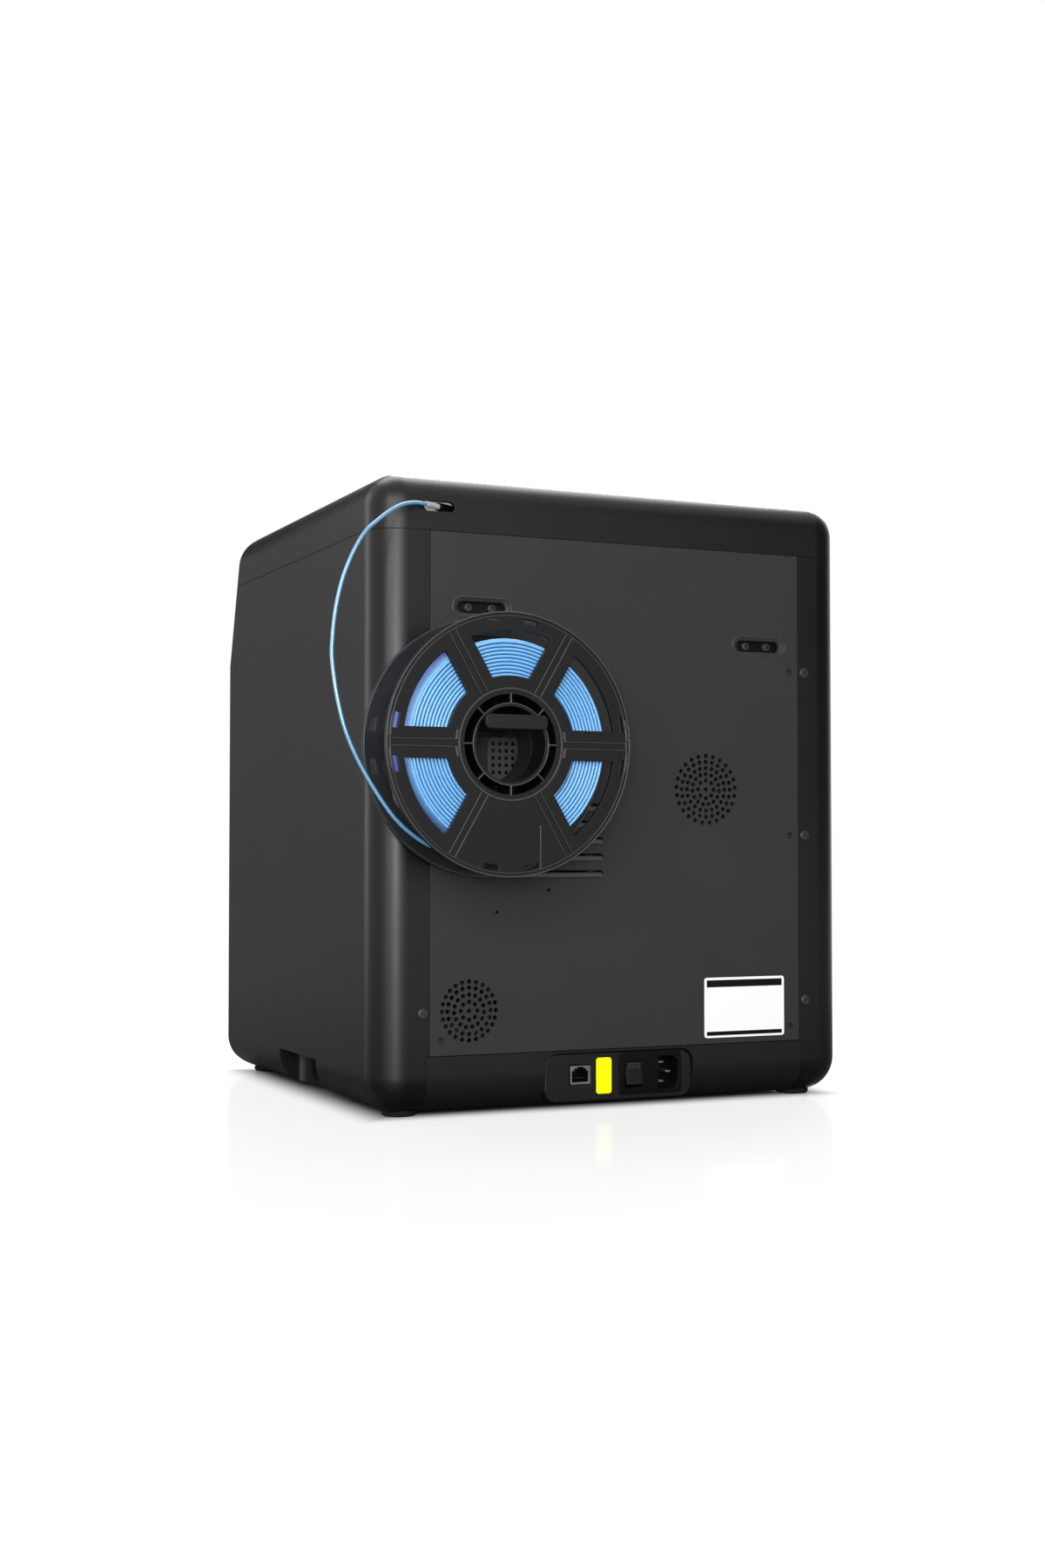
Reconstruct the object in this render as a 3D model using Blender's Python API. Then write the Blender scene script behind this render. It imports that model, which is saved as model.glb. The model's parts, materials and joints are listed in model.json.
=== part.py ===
"""Enclosed desktop printer that builds with melted filament, with its spool on the back.

Lengths are in metres. The machine's own coordinates have X to the right as seen from the front,
Y to the rear and Z up from the floor. The empty named machine shifts them, so that the box
around the whole object is centred over the world's origin.
"""

import math

import bmesh
import bpy
from mathutils import Matrix, Vector

MM = 0.001
GAP = 0.3 * MM
HALF_GAP = GAP / 2

# Housing
HEIGHT = 453 * MM
HALF_WIDTH = 191.5 * MM
HALF_DEPTH = 185.5 * MM
FOOT_HEIGHT = 5.5 * MM
WALL = 3 * MM
LID_WALL = 8 * MM
REAR_CORNER = 25 * MM
FRONT_CORNER = 6 * MM
LEAST_CORNER = 0.8 * MM
TOP_ROUND = 23.5 * MM
BOTTOM_ROUND = 26 * MM
LEAN_START = 345 * MM
LEAN_SLOPE = 0.315
REAR_ARC_STEPS = 5
FRONT_ARC_STEPS = 1
EDGE_STEPS = 4
SEAM_X = 150.5 * MM
SEAM_Z = 411.7 * MM
BASE_SEAM_Z = FOOT_HEIGHT + BOTTOM_ROUND
OUTSIDE = 0.4

# Rear panel, with its windows, slots and screws
PANEL_LOW = 43.2 * MM
PANEL_BACK = HALF_DEPTH - 5.5 * MM
FLANGE_HALF = 163 * MM
FLANGE_FRONT = HALF_DEPTH - WALL - GAP
SCREW_X = 155.7 * MM
SCREW_ROWS = (322.4 * MM, 198.3 * MM, 73.3 * MM)
SCREW_SHANK = 1.9 * MM
SCREW_HEAD = 4 * MM
SCREW_HEAD_HEIGHT = 2 * MM
WINDOW_X = 113.5 * MM
RIGHT_BELT_Z = 359 * MM
LEFT_BELT_Z = 341 * MM
WINDOW_SIZE = (35 * MM, 8 * MM)
WINDOW_FLARE = (43 * MM, 14 * MM)
WINDOW_FLARE_DEPTH = 3 * MM
SLOT_START = 15.5 * MM
SLOT_LENGTH = 80 * MM
SLOT_HEIGHT = 5 * MM
SLOT_LOW = 170 * MM
SLOT_PITCH = 12 * MM
SLOT_ROWS = 5

# Lower rear bar and its connectors
BAR_HALF = 152.7 * MM
BAR_FRONT = 130 * MM
PLATE_X = (-58 * MM, 61.5 * MM)
PLATE_Z = (6 * MM, 40.8 * MM)
PLATE_CORNER = 10 * MM
PLATE_WALL = 2.5 * MM
PLATE_FACE = HALF_DEPTH - 2 * MM
PLATE_DEPTH = 33 * MM
MODULE_X = (-48.5 * MM, 2 * MM)
MODULE_Z = (9.8 * MM, 40.2 * MM)
MODULE_LIP = 2.3 * MM
MODULE_FACE = PLATE_FACE + GAP + 1.5 * MM
INLET_X = (-45.8 * MM, -29.6 * MM)
INLET_Z = (12.3 * MM, 36.3 * MM)
INLET_CUT = 4 * MM
INLET_DEPTH = 15 * MM
ROCKER_X = (-15.9 * MM, -2 * MM)
ROCKER_Z = (14.7 * MM, 33.5 * MM)
ROCKER_TILT = math.radians(8)
ROCKER_PIVOT = Vector((sum(ROCKER_X) / 2, 180 * MM, sum(ROCKER_Z) / 2))
JACK_X = (25.6 * MM, 41.4 * MM)
JACK_Z = (18.5 * MM, 31.9 * MM)
JACK_WALL = 2 * MM

# Hand grips and feet
GRIP_Y = (-33 * MM, 57 * MM)
GRIP_TOP = 31 * MM
GRIP_DEPTH = 26 * MM
GRIP_CORNER = 12 * MM
FOOT_X = 162 * MM
FOOT_Y = (-157 * MM, 155.5 * MM)
FOOT_RADIUS = 12.5 * MM

# Top lid
LID_HALF = 150 * MM
LID_Y = (-120 * MM, 148 * MM)
LID_CORNER = 12 * MM
LID_THICK = 4 * MM
LID_LEDGE = 10 * MM
NOTCH_HALF = 25 * MM

# Door, its hinge and the screen below it
DOOR_HALF = 140 * MM
DOOR_Z = (110 * MM, 345 * MM)
DOOR_THICK = 12 * MM
DOOR_BACK = -HALF_DEPTH - GAP
DOOR_WINDOW_HALF = 112 * MM
DOOR_WINDOW_Z = (130 * MM, 325 * MM)
DOOR_HOLE_HALF = 125 * MM
DOOR_HOLE_Z = (125 * MM, 335 * MM)
GLASS_THICK = 2.8 * MM
GLASS_LIP = 5.7 * MM
HINGE = Vector((-DOOR_HALF + DOOR_THICK / 2, DOOR_BACK - DOOR_THICK / 2, 0))
PIN_RADIUS = 2 * MM
PIN_REACH = 8 * MM
LUG_HEIGHT = 6.4 * MM
HANDLE_X = (121 * MM, 133 * MM)
HANDLE_Z = (190 * MM, 280 * MM)
HANDLE_WALL = 8 * MM
HANDLE_FRONT = -HALF_DEPTH - 28 * MM
SCREEN_X = (20 * MM, 130 * MM)
SCREEN_Z = (42 * MM, 101 * MM)

# Spool, filament and holder
SPOOL = Vector((115 * MM, 0, 259 * MM))
SPOOL_RADIUS = 90.5 * MM
SPOOL_FRONT = HALF_DEPTH + 60 * MM
SPOOL_REAR = HALF_DEPTH + 12 * MM
FLANGE_THICK = 3.5 * MM
DRUM_RADIUS = 42 * MM
POCKET_RADIUS = 34.2 * MM
SLEEVE_RADIUS = 27.7 * MM
BORE_RADIUS = 25.8 * MM
FLANGE_WINDOW = (45.2 * MM, 76.8 * MM)
SPOKE_HALF = 10.5 * MM
HUB_RIB = 1.6 * MM
RIM_SLOT = (11 * MM, 3.6 * MM)
RIM_SLOT_RADIUS = 84.5 * MM
RIM_SLOT_TURN = 10
FILAMENT = 2.85 * MM
FACE_RADII = (47 * MM, 71 * MM)
FACE_TURNS = 7
LAYER_TURNS = 9
LAYER_STEP = 3.6 * MM
TURN_POINTS = 24
FLANGE_CLEARANCE = 0.5 * MM
CORE_STEP = (4 * MM, 5 * MM)
STRAND_Y = 212.5 * MM
STRAND_LEAVES = math.radians(-105)
ARM_HALF = 18 * MM
ARM_Z = (8 * MM, 17.7 * MM)
HOLDER_LIP = (46 * MM, 10.7 * MM)
HOLDER_LIP_Z = 16.3 * MM
HOLDER_TIP = HALF_DEPTH + 70 * MM
HOLDER_LIP_THICK = 4 * MM

# Filament inlet in the top cover
INLET_HOLE_X = (133.3 * MM, 155.3 * MM)
INLET_HOLE_Z = (424.2 * MM, 432.2 * MM)
TUBE_RADIUS = 3 * MM
TUBE_BORE = 1.9 * MM
TUBE_LENGTH = 45 * MM
TUBE_END = Vector((156 * MM, 190.9 * MM, 428.7 * MM))
TUBE_HEADING = Vector((0.85, 0.527, 0)).normalized()

# Chamber and motion
CHAMBER_FLOOR = 100 * MM
SHEET = 2 * MM
FLOOR_LEG_X = 146 * MM
ROD_RADIUS = 4 * MM
ROD_X = 165 * MM
ROD_Z = 378 * MM
RAIL_Y = (-162 * MM, 178 * MM)
RAIL_Z = (366 * MM, 392 * MM)
RAIL_INNER = 176 * MM
BELT_X = 145 * MM
BELT_Y = (-150 * MM, 150 * MM)
BELT_WIDTH = 6 * MM
PULLEY_RADIUS = 5.7 * MM
BELT_THICK = 1.6 * MM
MOTOR_HALF = 21 * MM
MOTOR_LENGTH = 38 * MM
MOTOR_CHAMFER = 4 * MM
Z_ROD_X = 75 * MM
Z_ROD_Y = 135 * MM
BRACKET_Z = (334 * MM, 346 * MM)
BED_LOW = 103 * MM
BED_HALF = 116 * MM
BED_Y = (-126 * MM, 106 * MM)
BED_THICK = 6 * MM
CARRIAGE_THICK = 7 * MM
CARRIAGE_BLOCK = 18 * MM
SCREW_BORE = 5 * MM
BEAM_HALF = 8 * MM
HEAD_HALF = 20 * MM
HEAD_Y = (-32 * MM, 20 * MM)
HEAD_Z = (350 * MM, 420 * MM)
NOZZLE_TIP = 330 * MM
NOZZLE_Y = -18 * MM

# Fans behind the two perforated discs
EXHAUST = Vector((-70 * MM, 0, 232.3 * MM))
EXHAUST_SIZE = 60 * MM
EXHAUST_DEPTH = 15 * MM
COOLER = Vector((120.8 * MM, 0, 74.3 * MM))
COOLER_SIZE = 40 * MM
COOLER_DEPTH = 10 * MM
BLADES = 7

SPOOL_OVERHANG = SPOOL.x + SPOOL_RADIUS - HALF_WIDTH
ORIGIN = Vector((-SPOOL_OVERHANG / 2, -(HOLDER_TIP + HANDLE_FRONT) / 2, 0))

# Route of the free filament, after it leaves the guide tube and before it reaches the spool
STRAND_ROUTE = [
    Vector(point) * MM
    for point in (
        (166.1, 195.0, 428.3),
        (176.4, 198.2, 425.7),
        (186.3, 200.4, 420.3),
        (195.8, 202.0, 413.0),
        (205.1, 203.0, 404.5),
        (212.7, 203.8, 392.6),
        (218.8, 204.5, 379.5),
        (223.3, 205.0, 366.6),
        (227.2, 205.7, 349.6),
        (229.5, 206.3, 331.4),
        (229.9, 206.8, 314.7),
        (226.0, 208.0, 287.0),
        (219.0, 208.8, 262.4),
        (206.0, 210.3, 236.4),
        (187.5, 211.9, 209.7),
        (169.9, 212.5, 194.7),
        (155.9, 212.5, 188.2),
        (139.4, 212.5, 183.9),
        (123.0, 212.5, 182.4),
        (108.4, 212.5, 183.9),
    )
]
STRAND_STEPS = 3
STRAND_IN_TUBE = 6 * MM

FINISHES = {
    "shell": ((0.045, 0.045, 0.047), 0.55, 0.0),
    "dark": ((0.02, 0.02, 0.021), 0.5, 0.0),
    "rubber": ((0.012, 0.012, 0.012), 0.85, 0.0),
    "smoked": ((0.02, 0.02, 0.022), 0.08, 0.0),
    "steel": ((0.55, 0.56, 0.57), 0.3, 1.0),
    "brass": ((0.75, 0.55, 0.25), 0.3, 1.0),
    "aluminium": ((0.6, 0.61, 0.62), 0.4, 1.0),
    "board": ((0.02, 0.16, 0.07), 0.5, 0.0),
    "filament": ((0.14, 0.42, 0.86), 0.35, 0.0),
    "tube": ((0.8, 0.8, 0.8), 0.35, 0.0),
}


def clear_scene():
    """Removes whatever the scene holds."""
    for obj in list(bpy.data.objects):
        bpy.data.objects.remove(obj)


def finish_material(name, finish):
    """A plain shader for one piece, from the table of finishes."""
    colour, roughness, metallic = FINISHES[finish]
    material = bpy.data.materials.new(name)
    material.use_nodes = True
    shader = material.node_tree.nodes["Principled BSDF"]
    shader.inputs["Base Color"].default_value = (*colour, 1)
    shader.inputs["Roughness"].default_value = roughness
    shader.inputs["Metallic"].default_value = metallic
    return material


def pivot(name, location, parent):
    """An empty on a joint's axis, in the machine's own coordinates."""
    empty = bpy.data.objects.new(name, None)
    bpy.context.scene.collection.objects.link(empty)
    empty["place"] = tuple(location)
    empty.location = Vector(location)
    if parent:
        empty.parent = parent
        empty.location = Vector(location) - Vector(parent["place"])
    return empty


def add_piece(name, data, finish, parent, smooth=True):
    """Puts one named piece, drawn in the machine's coordinates, under its pivot."""
    obj = bpy.data.objects.new(name, data)
    bpy.context.scene.collection.objects.link(obj)
    data.materials.clear()
    data.materials.append(finish_material(name, finish))
    if parent:
        obj.parent = parent
        obj.location = -Vector(parent["place"])
    if smooth and isinstance(data, bpy.types.Mesh):
        data.shade_smooth()
        data.set_sharp_from_angle(angle=math.radians(35))
    return obj


def solid(bm):
    """Turns a finished bmesh into a mesh whose faces point outwards."""
    bmesh.ops.recalc_face_normals(bm, faces=bm.faces)
    mesh = bpy.data.meshes.new("solid")
    bm.to_mesh(mesh)
    bm.free()
    return mesh


def at(axis, first, second, along):
    """A point from its two plane coordinates and its place along the axis."""
    places = {"X": (along, first, second), "Y": (first, along, second), "Z": (first, second, along)}
    return Vector(places[axis])


def box(low, high):
    """A block between two corners."""
    outline = [(low[0], low[1]), (high[0], low[1]), (high[0], high[1]), (low[0], high[1])]
    return plate(outline, (), "Z", low[2], high[2])


def plate(outline, holes, axis, low, high):
    """A flat outline with holes, drawn out along an axis."""
    bm = bmesh.new()
    for loop in (outline, *holes):
        verts = [bm.verts.new(at(axis, first, second, low)) for first, second in loop]
        for vert, after in zip(verts, verts[1:] + verts[:1]):
            bm.edges.new((vert, after))
    bmesh.ops.triangle_fill(bm, use_beauty=True, use_dissolve=False, edges=bm.edges)
    region = bmesh.ops.extrude_face_region(bm, geom=list(bm.faces))
    moved = [item for item in region["geom"] if isinstance(item, bmesh.types.BMVert)]
    bmesh.ops.translate(bm, verts=moved, vec=at(axis, 0, 0, high - low))
    return solid(bm)


def loft(rings):
    """A closed skin over rings that have the same number of points."""
    bm = bmesh.new()
    rows = [[bm.verts.new(point) for point in ring] for ring in rings]
    for row, above in zip(rows, rows[1:]):
        for index in range(len(row)):
            after = (index + 1) % len(row)
            bm.faces.new((row[index], row[after], above[after], above[index]))
    bm.faces.new(rows[0])
    bm.faces.new(rows[-1])
    return solid(bm)


def boolean(operation, first, tools):
    """The mesh left after one Boolean with each of the tools in turn."""
    scene = bpy.context.scene.collection.objects
    work = bpy.data.objects.new("work", first)
    scene.link(work)
    helpers = [bpy.data.objects.new("tool", tool) for tool in tools]
    for helper in helpers:
        scene.link(helper)
        modifier = work.modifiers.new(operation, "BOOLEAN")
        modifier.operation = operation
        modifier.solver = "EXACT"
        modifier.object = helper
    graph = bpy.context.evaluated_depsgraph_get()
    result = bpy.data.meshes.new_from_object(work.evaluated_get(graph))
    for obj in (work, *helpers):
        bpy.data.objects.remove(obj)
    return result


def cut(first, *tools):
    return boolean("DIFFERENCE", first, tools)


def join(first, *tools):
    return boolean("UNION", first, tools)


def common(first, *tools):
    return boolean("INTERSECT", first, tools)


def arc(centre, radius, start, end, steps):
    """Points on an arc, with its angles in degrees."""
    angles = [math.radians(start + (end - start) * step / steps) for step in range(steps + 1)]
    return [(centre[0] + radius * math.cos(a), centre[1] + radius * math.sin(a)) for a in angles]


def circle(centre, radius, sides):
    return arc(centre, radius, 0, 360, sides)[:-1]


def rounded(first, second, radius, steps=3):
    """A rectangle with round corners, from its two spans."""
    low_a, high_a = first[0] + radius, first[1] - radius
    low_b, high_b = second[0] + radius, second[1] - radius
    corners = ((high_a, high_b, 0), (low_a, high_b, 90), (low_a, low_b, 180), (high_a, low_b, 270))
    points = []
    for a, b, start in corners:
        points += arc((a, b), radius, start, start + 90, steps)
    return points


def span(centre, size):
    return (centre - size / 2, centre + size / 2)


def side_box(side, near, far, y, z):
    """A block on the right (side 1) or on the left (side -1), between two distances from the middle."""
    x = sorted((side * near, side * far))
    return box((x[0], y[0], z[0]), (x[1], y[1], z[1]))


def rod(x, y, radius, low, high, sides=12):
    return plate(circle((x, y), radius, sides), (), "Z", low, high)


def shell_ring(z, inset, edge):
    """The plan of the housing at one height, drawn in by its edge rounding."""
    shrink = inset + edge
    x = HALF_WIDTH - shrink
    rear = HALF_DEPTH - shrink
    front = -HALF_DEPTH + shrink + max(0, z - LEAN_START) * LEAN_SLOPE
    rear_r = max(REAR_CORNER - shrink, LEAST_CORNER)
    front_r = max(FRONT_CORNER - shrink, LEAST_CORNER)
    points = arc((x - rear_r, rear - rear_r), rear_r, 0, 90, REAR_ARC_STEPS)
    points += arc((rear_r - x, rear - rear_r), rear_r, 90, 180, REAR_ARC_STEPS)
    points += arc((front_r - x, front + front_r), front_r, 180, 270, FRONT_ARC_STEPS)
    points += arc((x - front_r, front + front_r), front_r, 270, 360, FRONT_ARC_STEPS)
    return [(first, second, z) for first, second in points]


def housing_solid(inset, top_inset):
    """The housing's round-edged block, or the hollow inside it when it is inset."""
    low, high = FOOT_HEIGHT + inset, HEIGHT - top_inset
    bottom_r, top_r = BOTTOM_ROUND - inset, TOP_ROUND - inset
    turns = [math.radians(90 * step / EDGE_STEPS) for step in range(EDGE_STEPS + 1)]
    levels = [(low + bottom_r * (1 - math.cos(t)), bottom_r * (1 - math.sin(t))) for t in turns]
    levels.append((LEAN_START, 0))
    levels += [(high - top_r * (1 - math.sin(t)), top_r * (1 - math.cos(t))) for t in turns]
    return loft([shell_ring(z, inset, edge) for z, edge in levels])


def outer():
    return housing_solid(0, 0)


def hollow():
    return housing_solid(WALL, LID_WALL)


def screw_places():
    return [(side * SCREW_X, z) for side in (1, -1) for z in SCREW_ROWS]


def make_side_shell(name, side, root):
    """One side wall, with its rear corner, its bottom edge and its hand grip."""
    keep = side_box(side, SEAM_X + HALF_GAP, OUTSIDE, (-OUTSIDE, OUTSIDE), (0, SEAM_Z - HALF_GAP))
    inner_x = HALF_WIDTH - GRIP_DEPTH
    pocket_y = (GRIP_Y[0] - WALL, GRIP_Y[1] + WALL)
    pocket = side_box(side, inner_x - WALL, OUTSIDE, pocket_y, (0, GRIP_TOP + WALL))
    x = sorted((side * inner_x, side * (HALF_WIDTH + GRIP_CORNER * 2)))
    grip = plate(rounded(x, GRIP_Y, GRIP_CORNER), (), "Z", -WALL, GRIP_TOP)
    bar = side_box(
        side, 0, BAR_HALF + HALF_GAP, (BAR_FRONT - HALF_GAP, OUTSIDE), (0, PANEL_LOW + HALF_GAP)
    )
    holes = [
        plate(circle((x, z), SCREW_SHANK + GAP, 8), (), "Y", PANEL_BACK, OUTSIDE)
        for x, z in screw_places()
        if x * side > 0
    ]
    shape = common(outer(), keep)
    add_piece(name, cut(shape, cut(hollow(), pocket), grip, bar, *holes), "shell", root)


def make_top_cover(root):
    """The cap above the seam, with the lid's recess, a finger notch and the filament inlet."""
    keep = box((-OUTSIDE, -OUTSIDE, SEAM_Z + HALF_GAP), (OUTSIDE, OUTSIDE, OUTSIDE + HEIGHT))
    x = (-LID_HALF, LID_HALF)
    recess_low = HEIGHT - LID_THICK - GAP
    recess = plate(rounded(x, LID_Y, LID_CORNER), (), "Z", recess_low, OUTSIDE + HEIGHT)
    hole_x = (x[0] + LID_LEDGE, x[1] - LID_LEDGE)
    hole_y = (LID_Y[0] + LID_LEDGE, LID_Y[1] - LID_LEDGE)
    hole = plate(rounded(hole_x, hole_y, LID_CORNER - WALL), (), "Z", SEAM_Z, OUTSIDE + HEIGHT)
    notch_y = (LID_Y[0] - 7 * MM, LID_Y[0] + WALL)
    notch_low = recess_low - 2.5 * MM
    notch = box((-NOTCH_HALF, notch_y[0], notch_low), (NOTCH_HALF, notch_y[1], OUTSIDE + HEIGHT))
    inlet_r = (INLET_HOLE_Z[1] - INLET_HOLE_Z[0]) / 2 - 0.01 * MM
    inlet = plate(rounded(INLET_HOLE_X, INLET_HOLE_Z, inlet_r), (), "Y", 170 * MM, OUTSIDE)
    shape = cut(common(outer(), keep), hollow(), recess, hole, notch, inlet)
    add_piece("top_cover", shape, "shell", root)


def make_lid(machine):
    """The lift-off lid, flush in its recess."""
    x = (-LID_HALF + GAP, LID_HALF - GAP)
    y = (LID_Y[0] + GAP, LID_Y[1] - GAP)
    shape = plate(rounded(x, y, LID_CORNER - GAP), (), "Z", HEIGHT - LID_THICK, HEIGHT)
    lift = pivot("lid_lift", (0, sum(LID_Y) / 2, HEIGHT), machine)
    add_piece("top_lid", shape, "smoked", lift)


def make_base_tray(root):
    keep = box(
        (-SEAM_X + HALF_GAP, -OUTSIDE, 0),
        (SEAM_X - HALF_GAP, BAR_FRONT - HALF_GAP, BASE_SEAM_Z - HALF_GAP),
    )
    add_piece("base_tray", cut(common(outer(), keep), hollow()), "dark", root)


def make_rear_bar(root):
    """The bar under the rear panel, open where the connectors stand."""
    keep = box(
        (-BAR_HALF + HALF_GAP, BAR_FRONT + HALF_GAP, 0),
        (BAR_HALF - HALF_GAP, OUTSIDE, PANEL_LOW - HALF_GAP),
    )
    x = (PLATE_X[0] - GAP, PLATE_X[1] + GAP)
    z = (PLATE_Z[0] - GAP, PLATE_Z[1] + GAP)
    recess_front = PLATE_FACE - PLATE_DEPTH - WALL
    recess = plate(rounded(x, z, PLATE_CORNER + GAP), (), "Y", recess_front, OUTSIDE)
    add_piece("rear_bar", cut(common(outer(), keep), hollow(), recess), "dark", root)


def window_tools():
    """Cutters for the two windows over the belt tensioners: a flared mouth and a slot."""
    tools = []
    for x, z in ((WINDOW_X, RIGHT_BELT_Z), (-WINDOW_X, LEFT_BELT_Z)):
        slot = rounded(span(x, WINDOW_SIZE[0]), span(z, WINDOW_SIZE[1]), 3 * MM)
        flare = rounded(span(x, WINDOW_FLARE[0]), span(z, WINDOW_FLARE[1]), 6 * MM)
        mouth = [at("Y", a, b, HALF_DEPTH + HALF_GAP) for a, b in flare]
        throat = [at("Y", a, b, HALF_DEPTH - WINDOW_FLARE_DEPTH) for a, b in slot]
        tools.append(loft([throat, mouth]))
        tools.append(plate(slot, (), "Y", PANEL_BACK - WALL, HALF_DEPTH - WINDOW_FLARE_DEPTH + HALF_GAP))
    return tools


def make_rear_panel(root):
    """The flat rear cover, stepped so that its flanges lie behind the screwed side strips."""
    half = SEAM_X - HALF_GAP
    right = [
        (FLANGE_HALF, PANEL_BACK),
        (FLANGE_HALF, FLANGE_FRONT),
        (half, FLANGE_FRONT),
        (half, HALF_DEPTH),
    ]
    outline = right + [(-x, y) for x, y in reversed(right)]
    low, high = PANEL_LOW + HALF_GAP, SEAM_Z - HALF_GAP
    shape = plate(outline, (), "Z", low, high)
    slot_x = (SLOT_START, SLOT_START + SLOT_LENGTH)
    slots = []
    for row in range(SLOT_ROWS):
        z = span(SLOT_LOW + row * SLOT_PITCH, SLOT_HEIGHT)
        outline = rounded(slot_x, z, SLOT_HEIGHT / 2 - 0.01 * MM)
        slots.append(plate(outline, (), "Y", PANEL_BACK - WALL, OUTSIDE))
    holes = [
        plate(circle(place, SCREW_SHANK + GAP, 8), (), "Y", PANEL_BACK - WALL, OUTSIDE)
        for place in screw_places()
    ]
    add_piece("rear_panel", cut(shape, *window_tools(), *slots, *holes), "shell", root)


def make_rear_screws(root):
    """Button-head screws that hold the side strips to the panel's flanges."""
    seat = HALF_DEPTH + GAP
    top = seat + SCREW_HEAD_HEIGHT
    profile = (
        (PANEL_BACK, SCREW_SHANK),
        (seat, SCREW_SHANK),
        (seat, SCREW_HEAD),
        (seat + SCREW_HEAD_HEIGHT / 2, SCREW_HEAD),
        (top, SCREW_HEAD * 0.6),
    )
    for number, place in enumerate(screw_places(), 1):
        rings = [[at("Y", a, b, y) for a, b in circle(place, r, 12)] for y, r in profile]
        add_piece(f"rear_screw_{number}", loft(rings), "dark", root)


def make_feet(root):
    """Four rubber feet with a chamfer at the floor."""
    top = FOOT_HEIGHT - GAP
    profile = ((0, FOOT_RADIUS - MM), (MM, FOOT_RADIUS), (top, FOOT_RADIUS))
    for end, y in zip(("front", "rear"), FOOT_Y):
        for hand, x in (("left", -FOOT_X), ("right", FOOT_X)):
            rings = [[(a, b, z) for a, b in circle((x, y), r, 20)] for z, r in profile]
            add_piece(f"{end}_{hand}_foot", loft(rings), "rubber", root)


def make_connector_plate(root):
    """A cup with a flat face, standing in the bar around the connectors."""
    back = PLATE_FACE - PLATE_DEPTH
    shape = plate(rounded(PLATE_X, PLATE_Z, PLATE_CORNER), (), "Y", back, PLATE_FACE)
    inner_x = (PLATE_X[0] + PLATE_WALL, PLATE_X[1] - PLATE_WALL)
    inner_z = (PLATE_Z[0] + PLATE_WALL, PLATE_Z[1] - PLATE_WALL)
    inner = rounded(inner_x, inner_z, PLATE_CORNER - PLATE_WALL)
    tools = [plate(inner, (), "Y", back - WALL, PLATE_FACE - PLATE_WALL)]
    body_x, body_z = module_body()
    tools.append(box((body_x[0] - GAP, back, body_z[0] - GAP), (body_x[1] + GAP, OUTSIDE, body_z[1] + GAP)))
    tools.append(box((JACK_X[0] - GAP, back, JACK_Z[0] - GAP), (JACK_X[1] + GAP, OUTSIDE, JACK_Z[1] + GAP)))
    add_piece("connector_plate", cut(shape, *tools), "dark", root)


def module_body():
    """The spans of the power module behind its flange."""
    return (
        (MODULE_X[0] + MODULE_LIP, MODULE_X[1] - MODULE_LIP),
        (MODULE_Z[0] + MODULE_LIP, MODULE_Z[1] - MODULE_LIP),
    )


def inlet_outline():
    """The mains inlet's mouth, turned on its side, with two corners cut."""
    (left, right), (low, high) = INLET_X, INLET_Z
    return [
        (right, low),
        (right, high),
        (left + INLET_CUT, high),
        (left, high - INLET_CUT),
        (left, low + INLET_CUT),
        (left + INLET_CUT, low),
    ]


def inlet_pins():
    """Three flat pins that stand on the floor of the mains inlet."""
    middle_z = sum(INLET_Z) / 2
    live_x = INLET_X[1] - 5 * MM
    earth_x = INLET_X[0] + 5.5 * MM
    low = MODULE_FACE - INLET_DEPTH - MM
    high = MODULE_FACE - 3 * MM
    pins = []
    for x, z in ((live_x, middle_z - 7 * MM), (live_x, middle_z + 7 * MM), (earth_x, middle_z)):
        pins.append(box((x - 2 * MM, low, z - MM), (x + 2 * MM, high, z + MM)))
    return pins


def make_power_inlet(root):
    """The mains module: a flange and a body, with the inlet's well and the switch's well."""
    flange_back = PLATE_FACE + GAP
    flange = plate(rounded(MODULE_X, MODULE_Z, 2 * MM), (), "Y", flange_back, MODULE_FACE)
    x, z = module_body()
    body = box((x[0], PLATE_FACE - 26 * MM, z[0]), (x[1], flange_back + 0.5 * MM, z[1]))
    inlet = plate(inlet_outline(), (), "Y", MODULE_FACE - INLET_DEPTH, OUTSIDE)
    well_back = ROCKER_PIVOT.y - 6 * MM
    well = box((ROCKER_X[0], well_back, ROCKER_Z[0]), (ROCKER_X[1], OUTSIDE, ROCKER_Z[1]))
    shape = join(cut(join(flange, body), inlet, well), *inlet_pins())
    add_piece("power_inlet", shape, "dark", root)


def make_rocker(machine):
    """The mains switch's rocker, a shallow V that rests tilted to one side."""
    half = 8.3 * MM
    profile = (
        (6.5 * MM, 0),
        (7.5 * MM, half),
        (0, half),
        (-4 * MM, half / 2),
        (-4 * MM, -half / 2),
        (0, -half),
        (7.5 * MM, -half),
    )
    cosine, sine = math.cos(ROCKER_TILT), math.sin(ROCKER_TILT)
    outline = [
        (ROCKER_PIVOT.y + y * cosine - z * sine, ROCKER_PIVOT.z + y * sine + z * cosine)
        for y, z in profile
    ]
    shape = plate(outline, (), "X", ROCKER_X[0] + GAP, ROCKER_X[1] - GAP)
    add_piece("power_rocker", shape, "dark", pivot("rocker_pivot", ROCKER_PIVOT, machine))


def make_ethernet_jack(root):
    """A shielded network socket, open to the rear."""
    face = PLATE_FACE + 0.8 * MM
    shape = box((JACK_X[0], face - 18 * MM, JACK_Z[0]), (JACK_X[1], face, JACK_Z[1]))
    mouth = box(
        (JACK_X[0] + JACK_WALL, face - 14 * MM, JACK_Z[0] + JACK_WALL),
        (JACK_X[1] - JACK_WALL, OUTSIDE, JACK_Z[1] - JACK_WALL),
    )
    add_piece("ethernet_jack", cut(shape, mouth), "steel", root)


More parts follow.
